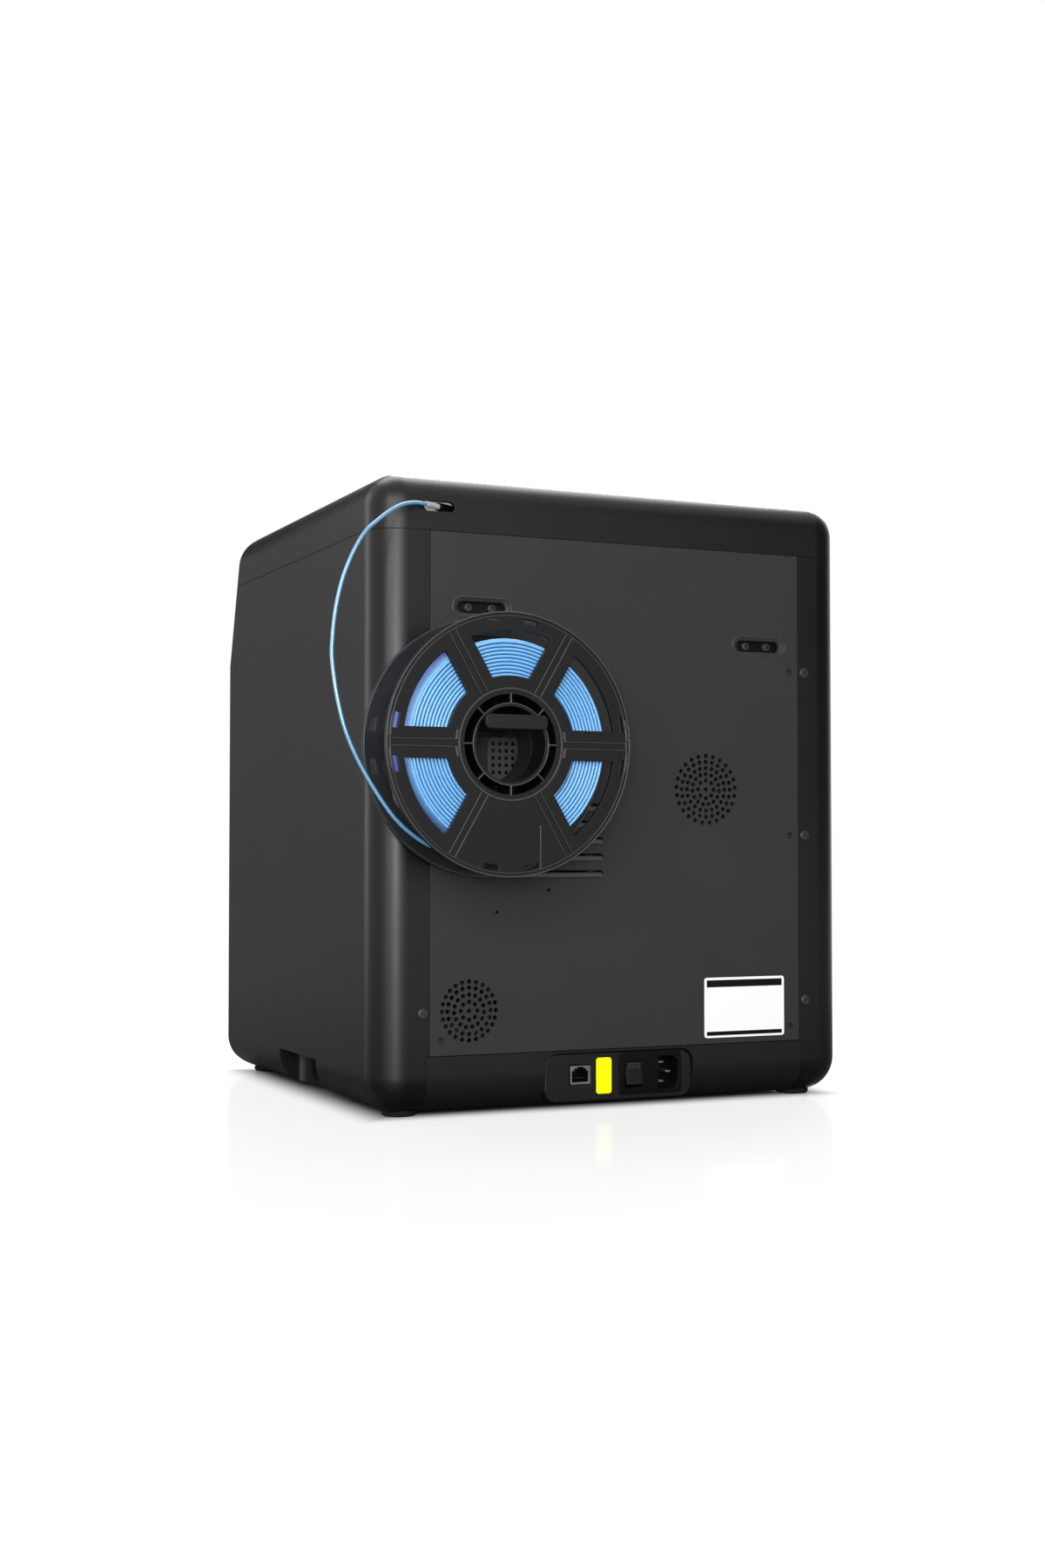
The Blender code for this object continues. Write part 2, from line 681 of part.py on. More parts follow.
def make_front_frame(root):
    """The front wall, open for the door and the screen, with two lugs for the hinge pins."""
    half = SEAM_X - HALF_GAP
    keep = box((-half, -OUTSIDE, BASE_SEAM_Z + HALF_GAP), (half, -150 * MM, SEAM_Z - HALF_GAP))
    hole = rounded((-DOOR_HOLE_HALF, DOOR_HOLE_HALF), DOOR_HOLE_Z, 8 * MM)
    doorway = plate(hole, (), "Y", -OUTSIDE, -150 * MM)
    screen = box(
        (SCREEN_X[0] - GAP, -OUTSIDE, SCREEN_Z[0] - GAP), (SCREEN_X[1] + GAP, -150 * MM, SCREEN_Z[1] + GAP)
    )
    shape = cut(common(outer(), keep), hollow(), doorway, screen)
    lugs, bores = [], []
    for low in (DOOR_Z[1] + 2 * GAP, DOOR_Z[0] - 2 * GAP - LUG_HEIGHT):
        high = low + LUG_HEIGHT
        lugs.append(
            box((HINGE.x - 6 * MM, HINGE.y - 5 * MM, low), (HINGE.x + 6 * MM, -HALF_DEPTH + 2.5 * MM, high))
        )
        bores.append(rod(HINGE.x, HINGE.y, PIN_RADIUS + GAP, low - MM, high + MM))
    add_piece("front_frame", cut(join(shape, *lugs), *bores), "dark", root)


def make_touch_screen(root):
    """The colour screen in the chin below the door."""
    shape = plate(rounded(SCREEN_X, SCREEN_Z, 3 * MM), (), "Y", -HALF_DEPTH - MM, -HALF_DEPTH + 8 * MM)
    add_piece("touch_screen", shape, "smoked", root)


def make_door(machine):
    """The door's frame with its round hinge edge, the glass in its rebate, the handle and the pins."""
    swing = pivot("door_hinge", HINGE, machine)
    radius = DOOR_THICK / 2
    free_edge = [(DOOR_HALF, DOOR_BACK), (DOOR_HALF, DOOR_BACK - DOOR_THICK)]
    outline = arc((HINGE.x, HINGE.y), radius, 270, 90, 6) + free_edge
    window = rounded((-DOOR_WINDOW_HALF, DOOR_WINDOW_HALF), DOOR_WINDOW_Z, 8 * MM)
    lip = GLASS_LIP + GAP
    rebate_x = (-DOOR_WINDOW_HALF - lip, DOOR_WINDOW_HALF + lip)
    rebate_z = (DOOR_WINDOW_Z[0] - lip, DOOR_WINDOW_Z[1] + lip)
    depth = GLASS_THICK + 2 * GAP
    tools = [plate(window, (), "Y", -OUTSIDE, 0)]
    tools.append(plate(rounded(rebate_x, rebate_z, 8 * MM), (), "Y", DOOR_BACK - depth, 0))
    bore = PIN_RADIUS + GAP
    for low in (DOOR_Z[0] - MM, DOOR_Z[1] - PIN_REACH - MM):
        tools.append(rod(HINGE.x, HINGE.y, bore, low, low + PIN_REACH + 2 * MM))
    add_piece("door_frame", cut(plate(outline, (), "Z", *DOOR_Z), *tools), "dark", swing)
    glass_x = (rebate_x[0] + GAP, rebate_x[1] - GAP)
    glass_z = (rebate_z[0] + GAP, rebate_z[1] - GAP)
    glass_back = DOOR_BACK - GAP
    glass = plate(rounded(glass_x, glass_z, 7.7 * MM), (), "Y", glass_back - GLASS_THICK, glass_back)
    add_piece("door_glass", glass, "smoked", swing)
    make_handle(swing)
    make_hinge_pins(swing)


def make_handle(swing):
    """A bow handle: a bar on two feet, with a gap for the fingers."""
    root_y = DOOR_BACK - DOOR_THICK - GAP
    inner_y = HANDLE_FRONT + HANDLE_WALL * 0.8
    bow = [
        (root_y, HANDLE_Z[0]),
        (HANDLE_FRONT + 3 * MM, HANDLE_Z[0]),
        (HANDLE_FRONT, HANDLE_Z[0] + 3 * MM),
        (HANDLE_FRONT, HANDLE_Z[1] - 3 * MM),
        (HANDLE_FRONT + 3 * MM, HANDLE_Z[1]),
        (root_y, HANDLE_Z[1]),
        (root_y, HANDLE_Z[1] - HANDLE_WALL),
        (inner_y, HANDLE_Z[1] - HANDLE_WALL),
        (inner_y, HANDLE_Z[0] + HANDLE_WALL),
        (root_y, HANDLE_Z[0] + HANDLE_WALL),
    ]
    add_piece("door_handle", plate(bow, (), "X", *HANDLE_X), "dark", swing)


def make_hinge_pins(swing):
    """Two steel pins, each through a lug and into the end of the door's frame."""
    reach = PIN_REACH - GAP
    upper = (DOOR_Z[1] - reach, DOOR_Z[1] + LUG_HEIGHT)
    lower = (DOOR_Z[0] - LUG_HEIGHT, DOOR_Z[0] + reach)
    for name, (low, high) in (("upper_hinge_pin", upper), ("lower_hinge_pin", lower)):
        add_piece(name, rod(HINGE.x, HINGE.y, PIN_RADIUS, low, high), "steel", swing)


def around_spool(points):
    """Plane points drawn about the spool's axis, moved to the spool."""
    return [(SPOOL.x + a, SPOOL.z + b) for a, b in points]


def sector(radii, start, end, steps):
    """A ring sector, from its two radii and its two angles in degrees."""
    inside = arc((0, 0), radii[0], start, end, steps)
    return around_spool(inside + arc((0, 0), radii[1], end, start, steps))


def flange_windows():
    """Windows between six spokes; the one at the bottom stays blank."""
    windows = []
    for middle in (30, 90, 150, 210, 330):
        inner, outside = FLANGE_WINDOW
        inner_turn = 30 - math.degrees(math.asin(SPOKE_HALF / inner))
        outer_turn = 30 - math.degrees(math.asin(SPOKE_HALF / outside))
        inside = arc((0, 0), inner, middle - inner_turn, middle + inner_turn, 4)
        rim = arc((0, 0), outside, middle + outer_turn, middle - outer_turn, 6)
        windows.append(around_spool(inside + rim))
    return windows


def rim_slots():
    """Pairs of small slots near the rim, where a loose end can be hooked in."""
    turn = math.degrees(RIM_SLOT[0] / RIM_SLOT_RADIUS / 2)
    radii = (RIM_SLOT_RADIUS - RIM_SLOT[1] / 2, RIM_SLOT_RADIUS + RIM_SLOT[1] / 2)
    middles = [quarter + offset for quarter in (0, 90, 180, 270) for offset in (-RIM_SLOT_TURN, RIM_SLOT_TURN)]
    return [sector(radii, middle - turn, middle + turn, 2) for middle in middles]


def hub_pockets():
    """Eight pockets between thin ribs, around the sleeve."""
    radii = (SLEEVE_RADIUS, POCKET_RADIUS)
    turn = 22.5 - math.degrees(HUB_RIB / sum(radii))
    return [sector(radii, middle - turn, middle + turn, 3) for middle in range(22, 382, 45)]


def spool_half(face, inner, middle):
    """A flange from its outer face to its inner one, with half of the hub up to the middle."""
    bore = around_spool(circle((0, 0), BORE_RADIUS, 24))
    holes = [bore, *hub_pockets()]
    rim = around_spool(circle((0, 0), SPOOL_RADIUS, 48))
    drum = around_spool(circle((0, 0), DRUM_RADIUS, 24))
    flange = plate(rim, holes + flange_windows() + rim_slots(), "Y", *sorted((face, inner)))
    overlap = (inner + face) / 2
    return join(flange, plate(drum, holes, "Y", *sorted((overlap, middle))))


def winding_points():
    """The tube's centre line: out over the front face and back over the core.

    The last turn on the face already moves back, so that it passes the core's corner at a slant."""
    front = SPOOL_FRONT - FLANGE_THICK - FLANGE_CLEARANCE - FILAMENT / 2
    rear = SPOOL_REAR + FLANGE_THICK + FLANGE_CLEARANCE + FILAMENT / 2
    layer_start = FACE_TURNS - 1
    total = layer_start + LAYER_TURNS
    points = []
    for step in range(round(total * TURN_POINTS) + 1):
        turn = step / TURN_POINTS
        face = min(turn / FACE_TURNS, 1)
        layer = max(turn - layer_start, 0) / LAYER_TURNS
        radius = FACE_RADII[0] + (FACE_RADII[1] - FACE_RADII[0]) * face
        y = front + (rear - front) * layer
        angle = STRAND_LEAVES - (total - turn) * 2 * math.pi
        points.append(Vector((SPOOL.x + radius * math.cos(angle), y, SPOOL.z + radius * math.sin(angle))))
    return square_ends(points)


def square_ends(points):
    """Adds an inner end that stands on the drum and a straight outer end, each a diameter long."""
    axis = Vector((SPOOL.x, points[0].y, SPOOL.z))
    out = (points[0] - axis).normalized()
    foot = axis + out * (DRUM_RADIUS + GAP)
    turned = axis + out * (DRUM_RADIUS + GAP + FILAMENT)
    heading = (points[-1] - points[-2]).normalized()
    return [foot, turned, *points[1:], points[-1] + heading * FILAMENT]


def report_least_gap(name, points, skip):
    """Prints the least gap between stretches of a tube that lie at least some points apart."""
    least = math.inf
    for index, point in enumerate(points):
        for other in points[index + skip :]:
            least = min(least, (other - point).length)
    print(f"{name}: least gap to itself {(least - FILAMENT) / MM:.2f} mm")


def tube_curve(points, bevel_resolution):
    """A round filament along a chain of points, with closed ends."""
    curve = bpy.data.curves.new("filament", "CURVE")
    curve.dimensions = "3D"
    curve.bevel_depth = FILAMENT / 2
    curve.bevel_resolution = bevel_resolution
    curve.use_fill_caps = True
    spline = curve.splines.new("POLY")
    spline.points.add(len(points) - 1)
    for place, point in zip(spline.points, points):
        place.co = (*point, 1)
    return curve


def smooth_route(route, steps):
    """Points of a smooth curve through every point of a route."""
    ends = [2 * route[0] - route[1], *route, 2 * route[-1] - route[-2]]
    points = []
    for before, start, end, after in zip(ends, ends[1:], ends[2:], ends[3:]):
        for step in range(steps):
            t = step / steps
            bend = (2 * before - 5 * start + 4 * end - after) * t * t
            twist = (3 * start - before - 3 * end + after) * t**3
            points.append((2 * start + (end - before) * t + bend + twist) / 2)
    return [*points, route[-1]]


def make_spool(machine):
    """The two halves of the spool, the core of wound filament and its outer turns."""
    turn = pivot("spool_axis", SPOOL + Vector((0, (SPOOL_FRONT + SPOOL_REAR) / 2, 0)), machine)
    middle = (SPOOL_FRONT + SPOOL_REAR) / 2
    front = spool_half(SPOOL_FRONT, SPOOL_FRONT - FLANGE_THICK, middle + HALF_GAP)
    rear = spool_half(SPOOL_REAR, SPOOL_REAR + FLANGE_THICK, middle - HALF_GAP)
    add_piece("spool_front_half", front, "dark", turn)
    add_piece("spool_rear_half", rear, "dark", turn)
    chord = math.cos(math.pi / TURN_POINTS)
    core_radius = FACE_RADII[1] * chord - FILAMENT / 2 - GAP
    core_front = SPOOL_FRONT - FLANGE_THICK - 2 * FLANGE_CLEARANCE - FILAMENT - GAP
    core_rear = SPOOL_REAR + FLANGE_THICK + FLANGE_CLEARANCE
    step_y = core_front - CORE_STEP[1]
    hole = around_spool(circle((0, 0), DRUM_RADIUS + 2 * GAP, 24))
    wide = around_spool(circle((0, 0), core_radius, 48))
    slim = around_spool(circle((0, 0), core_radius - CORE_STEP[0], 48))
    neck = plate(slim, [hole], "Y", step_y - MM, core_front)
    core = join(plate(wide, [hole], "Y", core_rear, step_y), neck)
    add_piece("filament_core", core, "filament", turn)
    points = winding_points()
    report_least_gap("filament_winding", points, TURN_POINTS // 2)
    add_piece("filament_winding", tube_curve(points, 1), "filament", turn)


def strand_landing():
    """Where the free filament comes to lie on the wound turns, and the way back along it."""
    out = Vector((math.cos(STRAND_LEAVES), 0, math.sin(STRAND_LEAVES)))
    along = Vector((-out.z, 0, out.x))
    return Vector((SPOOL.x, STRAND_Y, SPOOL.z)) + out * (FACE_RADII[1] + LAYER_STEP), along


def make_strand(root):
    """The free filament between the inlet's tube and the spool."""
    landing, along = strand_landing()
    starts = [TUBE_END - TUBE_HEADING * STRAND_IN_TUBE, TUBE_END]
    ends = [landing + along * 2 * FILAMENT, landing]
    points = smooth_route(starts + STRAND_ROUTE + ends, STRAND_STEPS)
    length = sum((b - a).length for a, b in zip(points, points[1:]))
    print(f"filament_strand: {length / MM:.0f} mm long")
    add_piece("filament_strand", tube_curve(points, 2), "filament", root)


def make_guide_tube(root):
    """The short tube that leads the filament in through the top cover."""
    ring = plate(circle((0, 0), TUBE_RADIUS, 12), [circle((0, 0), TUBE_BORE, 12)], "Z", -TUBE_LENGTH, 0)
    turn = Vector((0, 0, 1)).rotation_difference(TUBE_HEADING).to_matrix().to_4x4()
    ring.transform(Matrix.Translation(TUBE_END) @ turn)
    add_piece("guide_tube", ring, "tube", root)


def make_spool_holder(root):
    """A flat arm on a root plate, with a raised lip that keeps the spool on."""
    back = HALF_DEPTH + GAP
    x = (SPOOL.x - ARM_HALF, SPOOL.x + ARM_HALF)
    low, high = SPOOL.z + ARM_Z[0], SPOOL.z + ARM_Z[1]
    lip_back = HOLDER_TIP - HOLDER_LIP_THICK
    arm = box((x[0], back, low), (x[1], lip_back + MM, high))
    lip_outline = rounded(span(SPOOL.x, HOLDER_LIP[0]), span(SPOOL.z + HOLDER_LIP_Z, HOLDER_LIP[1]), 4 * MM)
    lip = plate(lip_outline, (), "Y", lip_back, HOLDER_TIP)
    root_x = (x[0] - 6 * MM, x[1] + 6 * MM)
    root_z = (low - 8 * MM, high + 8 * MM)
    foot = plate(rounded(root_x, root_z, 5 * MM), (), "Y", back, back + 4 * MM)
    add_piece("spool_holder", join(arm, lip, foot), "dark", root)


def make_fan(name, centre, size, depth, machine, root):
    """A fan behind the panel: a square frame with a spider, and a rotor on its own axis."""
    back = PANEL_BACK - GAP
    front = back - depth
    square = rounded(span(centre.x, size), span(centre.z, size), 3 * MM)
    place = (centre.x, centre.z)
    bore = circle(place, size / 2 - 2 * MM, 24)
    ring = plate(square, [bore], "Y", front, back)
    strut = size * 0.04
    spider = [
        box((place[0] - strut, front, place[1] - size / 2 + MM), (place[0] + strut, front + SHEET, place[1] + size / 2 - MM)),
        box((place[0] - size / 2 + MM, front, place[1] - strut), (place[0] + size / 2 - MM, front + SHEET, place[1] + strut)),
        plate(circle(place, size * 0.18, 12), (), "Y", front, front + SHEET),
    ]
    add_piece(f"{name}_fan_frame", join(ring, *spider), "dark", root)
    axis = pivot(f"{name}_fan_axis", (centre.x, back - depth / 2, centre.z), machine)
    outline = rotor_outline(place, size)
    rotor = plate(outline, (), "Y", front + SHEET + 2 * GAP, back - MM)
    add_piece(f"{name}_fan_rotor", rotor, "dark", axis)


def rotor_outline(place, size):
    """A hub with straight blades, as one outline."""
    hub, tip = size * 0.19, size / 2 - 3 * MM
    outline = []
    for blade in range(BLADES):
        start = 360 / BLADES * blade
        outline += arc(place, hub, start, start + 180 / BLADES, 2)
        outline += arc(place, tip, start + 200 / BLADES, start + 240 / BLADES, 1)
    return outline


def make_base_fittings(root):
    """The sheet floor of the chamber, and the electronics in the bay below it."""
    top = CHAMBER_FLOOR
    edge = HALF_WIDTH - WALL - 2 * MM
    outline = rounded((-edge, edge), (-174 * MM, PANEL_BACK - 1.5 * MM), REAR_CORNER)
    floor = plate(outline, (), "Z", top - SHEET, top)
    leg_low = FOOT_HEIGHT + WALL + GAP
    legs = [
        side_box(side, FLOOR_LEG_X, FLOOR_LEG_X + SHEET, (-155 * MM, 120 * MM), (leg_low, top - MM))
        for side in (1, -1)
    ]
    hole = rod(0, Z_ROD_Y, SCREW_BORE + MM, 0, OUTSIDE)
    add_piece("chamber_floor", cut(join(floor, *legs), hole), "aluminium", root)
    supply = box((-138 * MM, -120 * MM, leg_low), (-40 * MM, 95 * MM, leg_low + 42 * MM))
    add_piece("power_supply", supply, "aluminium", root)
    board = box((-20 * MM, -90 * MM, leg_low), (130 * MM, 60 * MM, leg_low + 20 * MM))
    add_piece("control_board", board, "board", root)


def make_motor(name, x, y, top, shaft_top, root):
    """A square stepper motor with chamfered edges and a pulley on its shaft."""
    low, high = -MOTOR_HALF, MOTOR_HALF
    c = MOTOR_CHAMFER
    corners = ((high, high, -1, 0), (high, high, 0, -1), (high, low, 0, 1), (high, low, -1, 0))
    right = [(a + c * da, b + c * db) for a, b, da, db in corners]
    outline = [(x + a, y + b) for a, b in right + [(-a, b) for a, b in reversed(right)]]
    body = plate(outline, (), "Z", top - MOTOR_LENGTH, top)
    if shaft_top:
        body = join(body, rod(x, y, PULLEY_RADIUS, top - MM, shaft_top, 16))
    add_piece(name, body, "steel", root)


def make_belt_drive(name, side, belt_z, root):
    """One side's motor, its belt, and the tensioner that shows in the rear window."""
    x = side * BELT_X
    top = belt_z - BELT_WIDTH / 2 - 11 * MM
    make_motor(f"{name}_motor", x, BELT_Y[0], top, belt_z + BELT_WIDTH / 2 + MM, root)
    inner, outside = PULLEY_RADIUS + GAP, PULLEY_RADIUS + GAP + BELT_THICK
    loops = []
    for radius in (outside, inner):
        front = arc((x, BELT_Y[0]), radius, 180, 360, 8)
        loops.append(front + arc((x, BELT_Y[1]), radius, 0, 180, 8))
    belt = plate(loops[0], loops[1:], "Z", belt_z - BELT_WIDTH / 2, belt_z + BELT_WIDTH / 2)
    add_piece(f"{name}_belt", belt, "rubber", root)
    y = BELT_Y[1] + outside + 2 * MM
    block = side_box(side, 94 * MM, 155 * MM, (y, PANEL_BACK - GAP), (belt_z - 5 * MM, belt_z + 5 * MM))
    tab_z = (belt_z + 4 * MM, belt_z + 7 * MM)
    tab = side_box(side, 138 * MM, 152 * MM, (BELT_Y[1] - 7 * MM, y + MM), tab_z)
    post = rod(x, BELT_Y[1], PULLEY_RADIUS, belt_z - 4 * MM, belt_z + 5 * MM, 16)
    add_piece(f"{name}_tensioner", join(block, tab, post), "dark", root)
    ends = (RAIL_Y[0], RAIL_Y[1] - MM)
    guide = plate(circle((side * ROD_X, ROD_Z), ROD_RADIUS, 12), (), "Y", *ends)
    add_piece(f"{name}_y_rod", guide, "steel", root)


def make_gantry_frame(root):
    """The U-shaped frame under the top cover, which holds the rods, the motors and the lift's top end."""
    edge = HALF_WIDTH - WALL - GAP
    rear_half = RAIL_INNER + MM
    rear_bar = box((-rear_half, 150 * MM, RAIL_Z[0] + 2 * MM), (rear_half, RAIL_Y[1], RAIL_Z[1]))
    bracket = box((-90 * MM, 127 * MM, BRACKET_Z[0]), (90 * MM, RAIL_Y[1], BRACKET_Z[1]))
    web = box((-90 * MM, 162 * MM, BRACKET_Z[1] - MM), (90 * MM, RAIL_Y[1], RAIL_Z[0] + 3 * MM))
    parts = [bracket, web]
    tools = []
    for side, belt_z in ((1, RIGHT_BELT_Z), (-1, LEFT_BELT_Z)):
        parts.append(side_box(side, RAIL_INNER, edge, (RAIL_Y[0], 160 * MM), RAIL_Z))
        parts.append(side_box(side, 155 * MM, rear_half, (RAIL_Y[0], RAIL_Y[0] + 10 * MM), RAIL_Z))
        shelf = belt_z - BELT_WIDTH / 2 - 11 * MM + GAP
        shelf_y = (BELT_Y[0] - 22 * MM, BELT_Y[0] + 22 * MM)
        parts.append(side_box(side, 123 * MM, edge, shelf_y, (shelf, shelf + 4 * MM)))
        hanger_y = (RAIL_Y[0] + 2 * MM, BELT_Y[0] + 20 * MM)
        parts.append(side_box(side, 179 * MM, edge, hanger_y, (shelf + MM, RAIL_Z[0] + 2 * MM)))
        tools.append(rod(side * BELT_X, BELT_Y[0], 11 * MM, shelf - MM, shelf + 5 * MM, 16))
        hole = circle((side * ROD_X, ROD_Z), ROD_RADIUS + GAP, 12)
        tools.append(plate(hole, (), "Y", RAIL_Y[0] - MM, RAIL_Y[1] + MM))
        tools.append(rod(side * Z_ROD_X, Z_ROD_Y, ROD_RADIUS + GAP, BRACKET_Z[0] - MM, BRACKET_Z[1] + MM))
    add_piece("gantry_frame", cut(join(rear_bar, *parts), *tools), "aluminium", root)


def make_gantry(machine):
    """The beam that slides front to back, and the print head that slides along it."""
    slide = pivot("gantry_slide", (0, 0, ROD_Z), machine)
    beam = box((-160 * MM, -BEAM_HALF, ROD_Z - BEAM_HALF), (160 * MM, BEAM_HALF, ROD_Z + BEAM_HALF))
    blocks, bores = [], []
    for side in (1, -1):
        z = (ROD_Z - 11 * MM, ROD_Z + 11 * MM)
        blocks.append(side_box(side, 155 * MM, 174.5 * MM, (-20 * MM, 20 * MM), z))
        bore = circle((side * ROD_X, ROD_Z), ROD_RADIUS + GAP, 12)
        bores.append(plate(bore, (), "Y", -30 * MM, 30 * MM))
    add_piece("gantry_beam", cut(join(beam, *blocks), *bores), "aluminium", slide)
    carriage = pivot("head_slide", (0, 0, ROD_Z), slide)
    profile = [
        (HEAD_Y[1], HEAD_Z[0] + 12 * MM),
        (HEAD_Y[1], HEAD_Z[1]),
        (HEAD_Y[0] + 12 * MM, HEAD_Z[1]),
        (HEAD_Y[0], HEAD_Z[1] - 12 * MM),
        (HEAD_Y[0], HEAD_Z[0]),
        (HEAD_Y[0] + 26 * MM, HEAD_Z[0]),
    ]
    tunnel = BEAM_HALF + GAP
    passage = box((-OUTSIDE, -tunnel, ROD_Z - tunnel), (OUTSIDE, tunnel, ROD_Z + tunnel))
    head = cut(plate(profile, (), "X", -HEAD_HALF, HEAD_HALF), passage)
    add_piece("print_head", head, "dark", carriage)
    top = HEAD_Z[0] - GAP
    profile = ((NOZZLE_TIP, 0.8 * MM), (NOZZLE_TIP + 4 * MM, 4 * MM), (NOZZLE_TIP + 9 * MM, 4 * MM), (top, 6 * MM))
    rings = [[(a, b, z) for a, b in circle((0, NOZZLE_Y), r, 12)] for z, r in profile]
    add_piece("nozzle", loft(rings), "brass", carriage)


def make_bed(machine, root):
    """The heated plate on its carriage, the two lift rods, and the screw with its motor."""
    lift = pivot("bed_lift", (0, Z_ROD_Y, BED_LOW), machine)
    top = BED_LOW + CARRIAGE_THICK
    tray = box((-100 * MM, -110 * MM, BED_LOW), (100 * MM, 125 * MM, top))
    block = box((-95 * MM, 118 * MM, BED_LOW), (95 * MM, 150 * MM, BED_LOW + CARRIAGE_BLOCK))
    bores = [rod(0, Z_ROD_Y, SCREW_BORE, 0, OUTSIDE)]
    bores += [rod(side * Z_ROD_X, Z_ROD_Y, ROD_RADIUS + GAP, 0, OUTSIDE) for side in (1, -1)]
    add_piece("bed_carriage", cut(join(tray, block), *bores), "aluminium", lift)
    outline = rounded((-BED_HALF, BED_HALF), BED_Y, 6 * MM)
    bed = plate(outline, (), "Z", top + GAP, top + GAP + BED_THICK)
    add_piece("build_plate", bed, "dark", lift)
    low = CHAMBER_FLOOR + GAP
    for name, side in (("left", -1), ("right", 1)):
        lift_rod = rod(side * Z_ROD_X, Z_ROD_Y, ROD_RADIUS, low, BRACKET_Z[1])
        add_piece(f"{name}_z_rod", lift_rod, "steel", root)
    motor_top = CHAMBER_FLOOR - SHEET - GAP
    make_motor("z_motor", 0, Z_ROD_Y, motor_top, 0, root)
    turn = pivot("lead_screw_axis", (0, Z_ROD_Y, CHAMBER_FLOOR), machine)
    screw = rod(0, Z_ROD_Y, ROD_RADIUS, motor_top + GAP, BRACKET_Z[0] - GAP)
    add_piece("lead_screw", screw, "steel", turn)


def make_housing(root, machine):
    make_side_shell("right_side_shell", 1, root)
    make_side_shell("left_side_shell", -1, root)
    make_top_cover(root)
    make_lid(machine)
    make_base_tray(root)
    make_rear_bar(root)
    make_rear_panel(root)
    make_rear_screws(root)
    make_feet(root)
    make_front_frame(root)
    make_touch_screen(root)
    make_door(machine)


def make_rear_fittings(root, machine):
    make_connector_plate(root)
    make_power_inlet(root)
    make_rocker(machine)
    make_ethernet_jack(root)
    make_spool_holder(root)
    make_spool(machine)
    make_guide_tube(root)
    make_strand(root)
    make_fan("exhaust", EXHAUST, EXHAUST_SIZE, EXHAUST_DEPTH, machine, root)
    make_fan("board", COOLER, COOLER_SIZE, COOLER_DEPTH, machine, root)


def make_motion(root, machine):
    make_base_fittings(root)
    make_gantry_frame(root)
    make_belt_drive("right", 1, RIGHT_BELT_Z, root)
    make_belt_drive("left", -1, LEFT_BELT_Z, root)
    make_gantry(machine)
    make_bed(machine, root)


def main():
    clear_scene()
    machine = pivot("machine", (0, 0, 0), None)
    make_housing(machine, machine)
    make_rear_fittings(machine, machine)
    make_motion(machine, machine)
    machine.location = ORIGIN


main()
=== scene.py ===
# %% [markdown]
# # A desktop filament printer, seen from behind
# The measured solids of the printer are loaded first, and they stay where they are. Every cell after that
# either gives one of them a finish, or builds a finer piece over it. All places are written in the
# machine's own millimetres, with X to its right, Y to its rear and Z up, as on a maker's drawing.

# %% Load the fixed frame
import json
import math

import bmesh
import bpy
from mathutils import Matrix, Vector

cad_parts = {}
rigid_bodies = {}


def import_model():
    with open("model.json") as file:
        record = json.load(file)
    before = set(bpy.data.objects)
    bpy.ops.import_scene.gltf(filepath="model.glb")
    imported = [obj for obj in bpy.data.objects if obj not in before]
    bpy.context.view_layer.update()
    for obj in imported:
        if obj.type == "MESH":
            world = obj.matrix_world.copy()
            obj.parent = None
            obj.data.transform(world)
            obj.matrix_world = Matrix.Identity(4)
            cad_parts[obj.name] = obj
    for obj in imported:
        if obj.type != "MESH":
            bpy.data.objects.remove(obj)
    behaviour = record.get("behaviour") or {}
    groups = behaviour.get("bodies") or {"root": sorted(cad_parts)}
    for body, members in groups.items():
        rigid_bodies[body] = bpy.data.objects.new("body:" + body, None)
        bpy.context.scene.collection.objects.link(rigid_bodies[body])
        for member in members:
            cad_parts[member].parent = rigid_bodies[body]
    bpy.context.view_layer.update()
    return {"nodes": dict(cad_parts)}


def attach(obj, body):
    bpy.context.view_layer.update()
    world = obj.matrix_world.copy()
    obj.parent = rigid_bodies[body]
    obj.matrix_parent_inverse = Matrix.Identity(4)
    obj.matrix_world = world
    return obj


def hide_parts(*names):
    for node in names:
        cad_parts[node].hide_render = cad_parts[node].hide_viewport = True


for startup in list(bpy.data.objects):
    bpy.data.objects.remove(startup)
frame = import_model()
MM = 0.001
MACHINE = Vector((-7, -21, 0))


def here(x, y, z):
    """A point of the machine, in the frame's metres."""
    return (Vector((x, y, z)) + MACHINE) * MM


# %% [markdown]
# ## Camera
# The photograph looks at the rear corner from just above the floor, slightly upwards. A camera could be
# nudged by eye until the outlines meet. Here its lens and place were worked out from the housing's straight
# edges, so they are set as numbers, and the picture needs no shift.

# %% Camera
lens = bpy.data.cameras.new("studio_camera")
lens.lens = 44.97
lens.sensor_width = 36
lens.clip_start = 0.05
camera = bpy.data.objects.new("studio_camera", lens)
bpy.context.scene.collection.objects.link(camera)
camera.location = (0.646, 1.4379, 0.1869)
yaw, pitch = math.radians(24.233), math.radians(1.944)
ahead = Vector((-math.sin(yaw) * math.cos(pitch), -math.cos(yaw) * math.cos(pitch), math.sin(pitch)))
camera.rotation_mode = "QUATERNION"
camera.rotation_quaternion = ahead.to_track_quat("-Z", "Y")
bpy.context.scene.camera = camera
print("camera:", lens.lens, "mm lens at", tuple(round(c, 3) for c in camera.location))

# %% [markdown]
# ## Node maths in Python
# Materials mix noise, gradients and numbers. Written as nodes and links that takes many lines, so a small
# class wraps a socket: plus, minus and times on it add Math nodes, and one method makes any other node.


